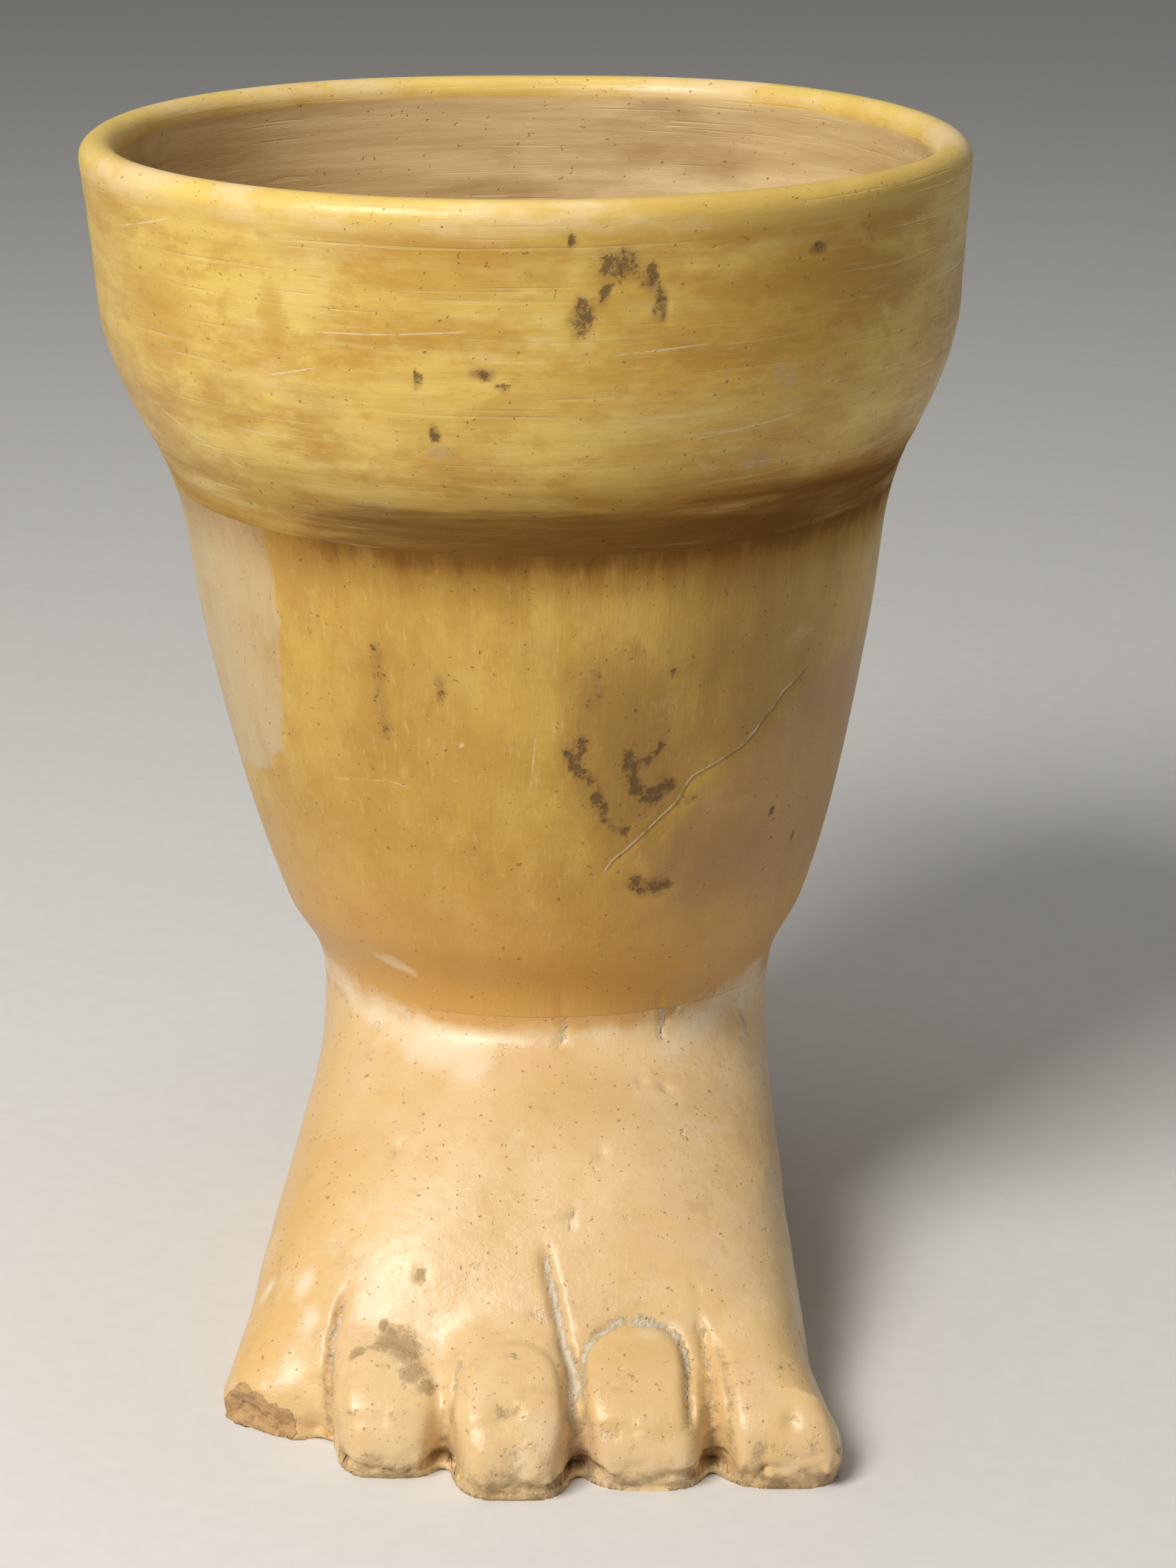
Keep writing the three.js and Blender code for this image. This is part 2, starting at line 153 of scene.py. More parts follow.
# Smears of luting along the ankle's joint: path of degrees round and height over the joint in mm, half width
# and strength
LUTING_SMEARS = (
    (((-88, 3.6), (-66, 2.4), (-46, 0.4), (-28, -2.2), (-12, -4.4)), 2.6, 1),
    (((-60, -1), (-30, -1), (6, -1.4), (30, -1)), 1.1, 0.6),
    (((-40.5, 9.9), (-36, 9.2), (-31.9, 7.9)), 0.9, 0.85),
    (((32, -3.4), (46, -0.4), (66, 2.4)), 2.6, 0.9),
    (((44, 3.4), (38.2, 1), (32.5, -1)), 0.5, 0.9),
    (((58, -7), (60, -1)), 1.4, 0.8),
    (((62, 1), (100, -1), (138, 0.6), (165, -0.6), (180, -0.4), (195, 0.2)), 1.8, 0.75),
    (((-195, -0.6), (-180, -0.4), (-165, 0.2), (-140, -1.6), (-92, 0.4)), 1.8, 0.75),
)
# Border of the faded patch on the leg's left side, from the top down; the patch lies to its left
PATCH_BORDER = ((-43, 134), (-44, 114), (-46.5, 100), (-50, 92), (-58, 86), (-80, 82))
# Lines between the toes, from the little toe to the big toe, in mm seen from above
TOE_LINES = (
    ((-26.4, -67.4), (-27.6, -69.6), (-28.6, -72), (-29, -76), (-28.6, -92)),
    ((-9, -78), (-9.6, -80.8), (-10.6, -83.4), (-11.2, -86), (-11, -96)),
    ((3, -65.8), (3.4, -68.6), (4.4, -71.4), (5.9, -75.7), (7.4, -80.5), (7.6, -86), (7.8, -96)),
    ((25.4, -72.6), (26.2, -75), (26.9, -80), (27.2, -85), (28.2, -96)),
)
# Where each toe grows out of the foot
TOE_ROOTS = ((-47, -55), (-27.3, -66), (-10.5, -71.5), (5.6, -73), (25.2, -71), (46, -61))
# Cut of the clay between two toes: half width and depth in mm, share of pale dirt
TOE_LINE_CUTS = ((0.7, 1.8, 0.8), (0.6, 1.2, 0.6), (0.75, 1.6, 1), (0.6, 1.2, 0.5))
# Outlines of the nails, from the left side over the root to the right side: path seen from above,
# half width and depth of the line in mm, share of pale dirt, and how far the nail swells, in mm
NAIL_LINES = (
    (
        (
            (8.6, -90), (8.3, -84), (8.4, -79.1), (9.6, -76), (13.1, -74.3), (17.9, -73.9), (21.6, -74.8),
            (23.5, -76.8), (24, -80), (23.8, -85), (24.5, -89.7),
        ),
        0.7, 0.5, 0.8, 0.5,
    ),
    (
        (
            (-9.2, -91), (-9.3, -84.2), (-8.2, -80.4), (-5.6, -77.8), (-2, -76.5), (1.9, -77.5),
            (4.6, -79.2), (6.2, -83), (6.9, -90),
        ),
        0.6, 0.15, 0.25, 0.45,
    ),
    (
        (
            (-26.6, -86), (-26.4, -78), (-24.5, -75.4), (-21.5, -74.2), (-18.1, -74.6), (-14.9, -76.7),
            (-12.6, -79.6), (-11.6, -86),
        ),
        0.6, 0.15, 0.1, 0.45,
    ),
    (((23.6, -76.4), (24.3, -80), (24.2, -85), (24.8, -88.6)), 0.9, 0.8, 0.15, 0),
    (((26.9, -75), (28.6, -77.8), (29.5, -82.6), (29.8, -86), (29.2, -91)), 0.7, 0.6, 0.4, 0),
    (((40.7, -66.3), (42.4, -69), (43.4, -74)), 0.6, 0.35, 0.9, 0),
)
# Gouges under the ankle's crease and on the instep, given like the nails' lines
GOUGES = (
    (((6.6, -36.4), (5.4, -37.6), (4.2, -38.9)), 0.5, 0.7, 0.9, 0),
    (((27.2, -27.6), (23.8, -30.2), (20.9, -32.4), (20.8, -33.6), (22.4, -34.4)), 0.3, 0.6, 0.7, 0),
    (((33.6, -19.6), (34.8, -20.6), (36.2, -21.6)), 0.6, 0.4, 0.9, 0),
    (((7.4, -61), (6.6, -64.8)), 0.5, 0.3, 0.8, 0),
    (((24.4, -68.6), (26.6, -71.6)), 0.5, 0.35, 0.6, 0),
)
# Pits in the foot: place seen from above, radius and depth in mm
FOOT_PITS = (
    (-19.3, -50.8, 1.3, 0.5), (11.5, -54.9, 0.9, 0.4), (17.6, -42.1, 0.6, 0.35), (21.5, -41.9, 0.8, 0.45),
    (-15.5, -68.1, 0.9, 0.25), (-1.1, -88.7, 1, 0.6), (-3, -88.9, 1.3, 0.5), (38.5, -88, 1, 0.6),
    (34, -91, 1.2, 0.4), (-1.3, -93.7, 1.6, 0.4), (13.1, -89.4, 0.9, 0.25), (1.2, -73.5, 0.6, 0.3),
)
FOOT_PALE_SPOTS = ((-33.2, -63.5, 2.2), (-39.2, -58.3, 1.4), (-32.2, -68.3, 2), (7.5, -63.8, 0.8))
FOOT_GREY_SPOTS = (
    (-15.5, -68.1, 0.7), (-20.8, -72.6, 0.7), (-24.6, -76.1, 1), (-20.3, -75, 1.6), (-17.5, -76.2, 2.2),
    (-16.2, -79.9, 1.9), (-14.2, -81.8, 1.4),
)


def length(name, millimetres, description):
    """A size that the user may change, kept in metres."""
    size = millimetres * MM
    return FloatProperty(name=name, description=description, default=size, unit="LENGTH", precision=4)


def toe_size(name, width, reach, height, tip):
    """Sizes of one toe."""
    text = "Width, length, height over the sole, and reach of the tip past the foot's wall"
    sizes = [side * MM for side in (width, reach, height, tip)]
    return FloatVectorProperty(name=name, description=text, size=4, default=sizes, unit="LENGTH", precision=4)


def colour(name, red, green, blue, description):
    """A colour that the user may change, from its eight-bit screen values."""
    shade = Color((red / 255, green / 255, blue / 255)).from_srgb_to_scene_linear()
    limits = {"min": 0, "max": 1}
    return FloatVectorProperty(name=name, description=description, default=shade, subtype="COLOR", **limits)


class VesselSizes(bpy.types.PropertyGroup):
    """Sizes of the clay."""

    height: FloatProperty(
        name="Height",
        description="Floor to the top of the lip",
        default=CAD_BOX[1][2],
        unit="LENGTH",
        precision=4,
    )
    wall: length("Wall", 6.5, "Thickness of the wall")
    lip_flare: length("Lip flare", 1.4, "How far the lip stands out past the collar")
    lip_wall: length("Lip wall", 5.6, "Thickness of the rounded lip")
    lip_height: length("Lip height", 8, "Height of the coil that finishes the mouth")
    collar_height: length("Collar height", 51, "Groove to the top of the lip")
    collar_radius: length("Collar radius", 66.2, "Outside of the upright collar")
    collar_round: length("Collar round", 28, "Height of the collar's rounded underside")
    collar_turn: length("Collar turn", 17.5, "Height at which the underside turns upright")
    groove_radius: length("Groove radius", 55.8, "Outside where the collar meets the leg")
    scarf: length("Scarf", 5, "Rise of the slanted joint between collar and leg")
    calf_radius: length("Calf radius", 50, "Pull of the leg's outline, outwards")
    calf_rise: length("Calf rise", 28, "Pull of the leg's outline, over the ankle")
    ankle_radius: length("Ankle radius", 36.8, "Outside of the ankle")
    ankle_height: length("Ankle height", 45, "Height of the ankle's joint at its sides")
    crease_rise: length("Crease rise", 4.5, "The ankle's joint rises this much to the front")
    ankle_shift: length("Ankle shift", 2.6, "The cup leans this far towards the big toe")
    luting_half: length("Luting half height", 1.5, "Half the height of the luting in the ankle's crease")
    coil_half: length("Coil half height", 6, "Half the height of the coil inside the ankle")
    coil_bulge: length("Coil bulge", 3.5, "How far that coil stands out")
    sole_thickness: length("Sole thickness", 4, "Slab under the foot and the toes")
    foot_reach: length("Foot reach", 84, "Axis to the front of the foot's wall")
    foot_half_width: length("Foot half width", 38.4, "Half the width of the foot at the axis")
    root_overhang: length("Root overhang", 1.2, "Outer toes stand out past the foot's wall")
    little_toe_setback: length("Little toe setback", 16, "The foot's front falls back at the little toe")
    instep_flat: length("Instep flat", 18, "Pull of the instep's outline before the ankle")
    toe_root_rise: length("Toe root rise", 7, "Pull of the instep's outline over the sole")
    heel_reach: length("Heel reach", 44, "Axis to the back of the heel")
    heel_bulge: length("Heel bulge", 5, "The heel swells this far")
    heel_rise: length("Heel rise", 14, "Pull of the heel's outline over the sole")
    sole_coil: length("Sole coil", 5, "Coil pressed into the corner over the sole")
    toe_seat: length("Toe seat", 4, "Middle of a toe over the sole")
    toe_droop: length("Toe droop", 5, "A tip lies this much lower than the toe's middle")
    little_toe: toe_size("Little toe", 18.4, 32, 12, -7.8)
    fourth_toe: toe_size("Fourth toe", 16.4, 36, 13.5, 4.2)
    middle_toe: toe_size("Middle toe", 17.6, 40, 14.5, 10.4)
    second_toe: toe_size("Second toe", 19.4, 38, 14.5, 7.6)
    big_toe: toe_size("Big toe", 18.6, 32, 14, 7)

    def groove_z(self):
        return self.height - self.collar_height

    def lip_z(self):
        return self.height - self.lip_height

    def lip_radius(self):
        return self.collar_radius + self.lip_flare

    def lip_base(self):
        upright = self.collar_height - self.collar_round
        share = (upright - self.lip_height) / upright
        return self.collar_radius + self.lip_flare * share

    def toes(self):
        return (self.little_toe, self.fourth_toe, self.middle_toe, self.second_toe, self.big_toe)


class VesselColours(bpy.types.PropertyGroup):
    """Colours of the slips, the clay and the stage."""

    collar_ochre: colour("Collar ochre", 226, 194, 99, "Burnished slip of the collar")
    collar_brown: colour("Collar brown", 192, 146, 56, "Slip of the collar where it is thicker")
    leg_ochre: colour("Leg ochre", 209, 168, 74, "Burnished slip of the leg")
    leg_brown: colour("Leg brown", 178, 132, 48, "Slip of the leg where it is thicker")
    pale_ochre: colour("Pale ochre", 232, 210, 144, "Slip rubbed thin by burnishing")
    ochre_orange: colour("Orange ochre", 208, 156, 84, "Slip low on the leg, next to the foot")
    lip_yellow: colour("Lip yellow", 232, 202, 112, "Slip rubbed on the lip")
    lip_worn: colour("Worn lip", 236, 208, 160, "Paler clay where the lip is worn")
    # Dirt and also painted shade: these two darken the collar's underside and the leg's top in the groove
    groove_dirt_and_shade: colour("Groove dirt", 96, 62, 28, "Dirt in the groove under the collar")
    leg_groove_dirt_and_shade: colour("Groove rust", 132, 88, 40, "Dirt on the leg below the groove")
    stain: colour("Stain", 92, 66, 38, "Dark specks")
    smudge: colour("Smudge", 146, 104, 52, "Soft brown round the dark specks")
    olive: colour("Olive", 158, 120, 50, "Shaded cloud on the leg")
    faded: colour("Faded", 201, 177, 134, "Patch where the slip has faded")
    rose_clay: colour("Rose clay", 182, 136, 88, "Clay that shows through next to the crack")
    inside_clay: colour("Inside clay", 214, 188, 138, "Wiped slip inside the mouth")
    inside_tan: colour("Inside tan", 190, 158, 108, "Streaks of the wiped slip")
    inside_brown: colour("Inside brown", 150, 112, 68, "Smudges inside the mouth")
    peach: colour("Peach", 235, 204, 154, "Slip of the foot")
    peach_tan: colour("Tan", 224, 188, 130, "Slip of the foot where it is thicker")
    peach_gold: colour("Gold", 224, 180, 108, "Slip of the foot on its outer side")
    blush: colour("Blush", 226, 190, 150, "Pinkish slip of the foot")
    luting: colour("Luting", 240, 224, 192, "Pale clay rubbed into the ankle's crease")
    pale_dirt: colour("Pale dirt", 216, 205, 181, "Chalky dirt between the toes")
    # Grime and also painted shade: the foot's grime darkens clay that faces down and the toes' lower fronts
    grime_and_shade: colour("Grime", 150, 122, 86, "Grey-brown grime round the toes")
    broken_clay: colour("Broken clay", 198, 158, 108, "Rough clay of the broken little toe")
    bare_clay: colour("Bare clay", 184, 150, 102, "Clay of the coils inside")
    floor: colour("Floor", 222, 221, 218, "Pale floor")


def sizes_of(context):
    return context.scene.vessel_sizes


def colours_of(context):
    return context.scene.vessel_colours


def smooth(value, low=0.0, high=1.0):
    """Goes smoothly from 0 at low to 1 at high."""
    share = min(max((value - low) / (high - low), 0.0), 1.0)
    return share * share * (3 - 2 * share)


def between(value, start, full, fade, end):
    """Goes smoothly from 0 at start to 1 at full, and back to 0 from fade to end."""
    return smooth(value, start, full) * (1 - smooth(value, fade, end))


def blend(first, second, share):
    return first + (second - first) * share


def unevenness(place, waves):
    """Sum of some noises at a place in mm, each with its size and its spread."""
    return sum(size * noise.noise(place / spread) for size, spread in waves)


def flat_way(co):
    """Level direction from the upright axis to a place."""
    return Vector((co.x, co.y, 0)).normalized()


def bezier(start, pull, push, end, count):
    """Points of a curve that leaves its start and reaches its end by way of two handles."""
    return interpolate_bezier(Vector(start), Vector(pull), Vector(push), Vector(end), count)


def curve(start, pull, end, step):
    """Points of a curve drawn from start to end and pulled towards a third point."""
    start, pull, end = Vector(start), Vector(pull), Vector(end)
    count = max(4, round(((pull - start).length + (end - pull).length) / step))
    return bezier(start, start.lerp(pull, 2 / 3), end.lerp(pull, 2 / 3), end, count)


def straight(start, end, step):
    """Points of a straight line, both ends included."""
    start, end = Vector(start), Vector(end)
    count = max(1, round((end - start).length / step))
    return [start.lerp(end, k / count) for k in range(count + 1)]


def spun(bm, corners, sides, steps):
    """Spins an outline once about the upright axis."""
    turn = {"cent": (0, 0, 0), "axis": (0, 0, 1), "angle": 2 * math.pi, "steps": steps}
    bmesh.ops.spin(bm, geom=corners + sides, use_merge=True, **turn)


def turned(outer, inner, steps):
    """A ring turned about the axis from the two sides of its outline, with its inner side marked."""
    bm = bmesh.new()
    inside = bm.verts.layers.float.new("inside")
    corners = []
    for side, points in enumerate((outer, inner)):
        for radius, height in points:
            corner = bm.verts.new((radius, 0, height))
            corner[inside] = side
            corners.append(corner)
    spun(bm, corners, [bm.edges.new(pair) for pair in zip(corners, corners[1:] + corners[:1])], steps)
    return bm


def shade_over_joints(mesh):
    """Shades clay as it was before it was cut, so that a rubbed joint doesn't show as a line."""
    facing = [kept.vector.copy() for kept in mesh.attributes["facing"].data]
    unset = Vector()
    normals = []
    for face in mesh.polygons:
        for index in face.vertices:
            normals.append(facing[index] if facing[index].dot(face.normal) > CUT_TURN else unset)
    mesh.normals_split_custom_set(normals)
    mesh.attributes.remove(mesh.attributes["facing"])


def finish_piece(context, bm, name, material, nodes):
    """Turns clay into a piece of the vessel, with its material by name, that stands for its CAD nodes."""
    bmesh.ops.remove_doubles(bm, verts=bm.verts, dist=TOUCHING)
    bmesh.ops.recalc_face_normals(bm, faces=bm.faces)
    for face in bm.faces:
        face.smooth = True
    mesh = bpy.data.meshes.new(name)
    bm.to_mesh(mesh)
    bm.free()
    mesh.set_sharp_from_angle(angle=SHARP)
    if "facing" in mesh.attributes:
        shade_over_joints(mesh)
    mesh.materials.append(material_of(context, material))
    piece = bpy.data.objects.new(name, mesh)
    context.scene.collection.objects.link(piece)
    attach(piece, "root")
    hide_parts(*nodes)


# How the cup sits: it leans towards the big toe and slants at the ankle


def slant_at(sizes, y):
    """Rise of the slanted ankle joint, which is higher towards the front."""
    return -sizes.crease_rise * y / sizes.ankle_radius


def joint_height(sizes, y):
    """Height of the ankle's joint, in mm, at a place y mm behind the axis."""
    return (sizes.ankle_height + slant_at(sizes, y * MM)) / MM


def settled(sizes, co):
    """Where a place on a true turned cup comes to lie on the leaning one."""
    lean = min(max((sizes.height - co.z) / (sizes.height - sizes.ankle_height), 0), 1)
    x = co.x + sizes.ankle_shift * lean
    share = 1 - smooth(co.z, sizes.ankle_height + sizes.coil_half, sizes.groove_z())
    return Vector((x, co.y, co.z + slant_at(sizes, co.y) * share))


def hand_dents(co):
    """Depth of the dents that a potter's hands leave, always inwards."""
    return sum(depth * (1 - noise.noise(co * spread + shift)) / 2 for spread, depth, shift in HAND_DENTS)


def degrees_round(co):
    """Degrees round from the front, towards the big toe's side."""
    return math.degrees(math.atan2(co.x, -co.y))


def wavered(place):
    """A place on a wall, in mm, moved a little as an unsteady hand would."""
    spot = Vector((place.x, place.y, 0)) / WAVER_SPREAD
    return place + WAVER * Vector((noise.noise(spot), noise.noise(spot + Vector((0, 0, 9)))))


def flattened(angle, height, radius):
    """A place on a wall of that radius, laid out flat, in mm."""
    return Vector((math.radians(angle) * radius, height))


def blot(angle, height, radius, marks):
    """Strength of the strongest of some round marks at a place on a wall, and 0 where there is none."""
    strongest = 0.0
    place = wavered(flattened(angle, height, radius))
    for mark_angle, mark_height, half_width, half_height in marks:
        across = (place.x - math.radians(mark_angle) * radius) / half_width
        up = (place.y - mark_height) / half_height
        strongest = max(strongest, 1 - (across * across + up * up) / MARK_FADE)
    return strongest


def line_offset(place, path):
    """Signed distance from a path of points, and how far inside its two ends the nearest place is."""
    best, offset, inside, travelled = 1e9, 0.0, 0.0, 0.0
    total = sum((b - a).length for a, b in zip(path, path[1:]))
    for a, b in zip(path, path[1:]):
        way = b - a
        share = min(max((place - a).dot(way) / way.length_squared, 0), 1)
        gap = place - a - way * share
        if gap.length < best:
            best = gap.length
            offset = math.copysign(best, way.x * gap.y - way.y * gap.x)
            at = travelled + way.length * share
            inside = min(at, total - at)
        travelled += way.length
    return offset, inside


def near_ranges(path):
    """Ranges of both coordinates that a path's marks may reach."""
    return [(min(side) - PATH_REACH, max(side) + PATH_REACH) for side in zip(*path)]


def is_near(place, ranges):
    return all(low < side < high for side, (low, high) in zip(place, ranges))


def on_wall(path, radius):
    """A path of degrees and heights laid out flat, in mm, and the ranges near it."""
    flat = [flattened(angle, height, radius) for angle, height in path]
    return flat, near_ranges(flat)


def draw_lines(place, paths):
    """Offset from the nearest of some fine lines and its strength there, for a line that a material draws."""
    offset, strength = LINE_REACH, 0.0
    for (path, near), tone in paths:
        if not is_near(place, near):
            continue
        away, inside = line_offset(place, path)
        if abs(away) < abs(offset):
            offset = away
            faded = smooth(abs(away), LINE_REACH / 2, LINE_REACH)
            strength = tone * smooth(inside, 0, LINE_FADE) * (1 - faded)
    return offset, strength


def streak(place, paths):
    """Strength of the strongest of some streaks, each a path with its half width and its own strength."""
    strongest = 0.0
    place = wavered(place)
    for (path, near), half_width, strength in paths:
        if is_near(place, near):
            away, _ = line_offset(place, path)
            strongest = max(strongest, strength * (1 - (away / half_width) ** 2 / MARK_FADE))
    return strongest


def streaks_on_wall(streaks, radius):
    """Streaks laid out flat, each with its half width and strength."""
    return [(on_wall(path, radius), half_width, strength) for path, half_width, strength in streaks]


def luting_paths(sizes):
    return streaks_on_wall(LUTING_SMEARS, sizes.ankle_radius / MM)


def luted(sizes, paths, angle, rise):
    """Strength of the luting's smears at a height over the ankle's joint, in mm."""
    if abs(rise) > LUTING_REACH:
        return 0.0
    return streak(flattened(angle, rise, sizes.ankle_radius / MM), paths)


# Materials


class ClayPaint:
    """Builds one clay material out of nodes, over Object coordinates in metres."""

    REFRACTION = 1.45

    def __init__(self, name):
        self.material = bpy.data.materials.new(name)
        self.material.use_nodes = True
        self.tree = self.material.node_tree
        self.shader = self.tree.nodes["Principled BSDF"]
        self.place = self.node("ShaderNodeTexCoord").outputs["Object"]

    def node(self, kind, inputs=None, **settings):
        """A node with its settings, and its inputs fed by name or number."""
        made = self.tree.nodes.new(kind)
        for name, value in settings.items():
            setattr(made, name, value)
        self.feed(made, inputs or {})
        return made

    def feed(self, node, inputs):
        """Links or sets inputs of a node."""
        for name, value in inputs.items():
            socket = node.inputs[name]
            if isinstance(value, bpy.types.NodeSocket):
                self.tree.links.new(value, socket)
            elif socket.type == "RGBA":
                socket.default_value = (*value[:3], 1)
            else:
                socket.default_value = value

    def layer(self, name):
        return self.node("ShaderNodeAttribute", attribute_name=name).outputs["Fac"]

    def clouds(self, size, detail=4.0, roughness=0.6, stretch=(1, 1, 1), shift=0.0):
        """Soft noise with clouds of about one size; stretch above 1 draws them out along an axis."""
        moved = (shift, shift * 0.7, shift * 1.3)
        scale = [1 / side for side in stretch]
        mapping = self.node("ShaderNodeMapping", {"Vector": self.place, "Location": moved, "Scale": scale})
        shape = {"Scale": 1 / size, "Detail": detail, "Roughness": roughness}
        texture = self.node("ShaderNodeTexNoise", {"Vector": mapping.outputs["Vector"], **shape})
        return texture.outputs["Fac"]

    def math(self, operation, first, second=0.0):
        return self.node("ShaderNodeMath", {0: first, 1: second}, operation=operation).outputs[0]

    def times(self, first, second):
        return self.math("MULTIPLY", first, second)

    def total(self, *terms):
        """Sum of some values, each times its weight."""
        total = 0.0
        for value, weight in terms:
            total = self.math("ADD", self.times(value, weight), total)
        return total

    def mask(self, value, low, high):
        """0 at low, 1 at high, smooth between; low may be the greater."""
        ends = (low, high, 0, 1) if low < high else (high, low, 1, 0)
        inputs = dict(zip(("From Min", "From Max", "To Min", "To Max"), ends))
        made = self.node("ShaderNodeMapRange", {"Value": value, **inputs}, interpolation_type="SMOOTHSTEP")
        return made.outputs["Result"]

    def scaled(self, value, low, high):
        """Stretches a value of 0 to 1 between two others."""
        ends = {"To Min": low, "To Max": high}
        return self.node("ShaderNodeMapRange", {"Value": value, **ends}).outputs["Result"]

    def ragged(self, name, edge, low=0.42, high=0.58, strength=0.5):
        """A painted layer whose soft border is broken up by noise."""
        rough = self.math("ADD", self.layer(name), self.scaled(edge, -strength, strength))
        return self.mask(rough, low, high)

    def rubbed(self):
        """Share of the luting rubbed over the ankle's joint, the same on every clay."""
        return self.ragged("luting", self.clouds(0.008, 8, 0.68, (1.6, 1.6, 1), 21.0), 0.2, 1.35, 1.2)

    def coats(self, tint, *coats):
        """Lays coats over a colour, each with its share, its thickness where it is whole, and its colour."""
        for share, thickness, over in coats:
            inputs = {"Factor": self.times(share, thickness), 6: tint, 7: over}
            tint = self.node("ShaderNodeMix", inputs, data_type="RGBA").outputs[2]
        return tint

    def fine_line(self, half_width, beside=0.0):
        """Share of a fine line drawn from its offset, in mm, and its strength; it may run beside the path."""
        away = self.math("ABSOLUTE", self.math("SUBTRACT", self.layer("line_offset"), beside))
        line = self.mask(away, half_width, half_width * 0.3)
        return self.times(line, self.mask(self.layer("line_tone"), 0.05, 0.9))

    def finish(self, tint, gloss, relief, depth):
        """Gives the clay its colour, its gloss and its fine relief."""
        bump = self.node("ShaderNodeBump", {"Strength": 1, "Distance": depth, "Height": relief})
        looks = {"Base Color": tint, "Roughness": gloss, "IOR": self.REFRACTION}
        self.feed(self.shader, {**looks, "Normal": bump.outputs["Normal"]})
        return self.material


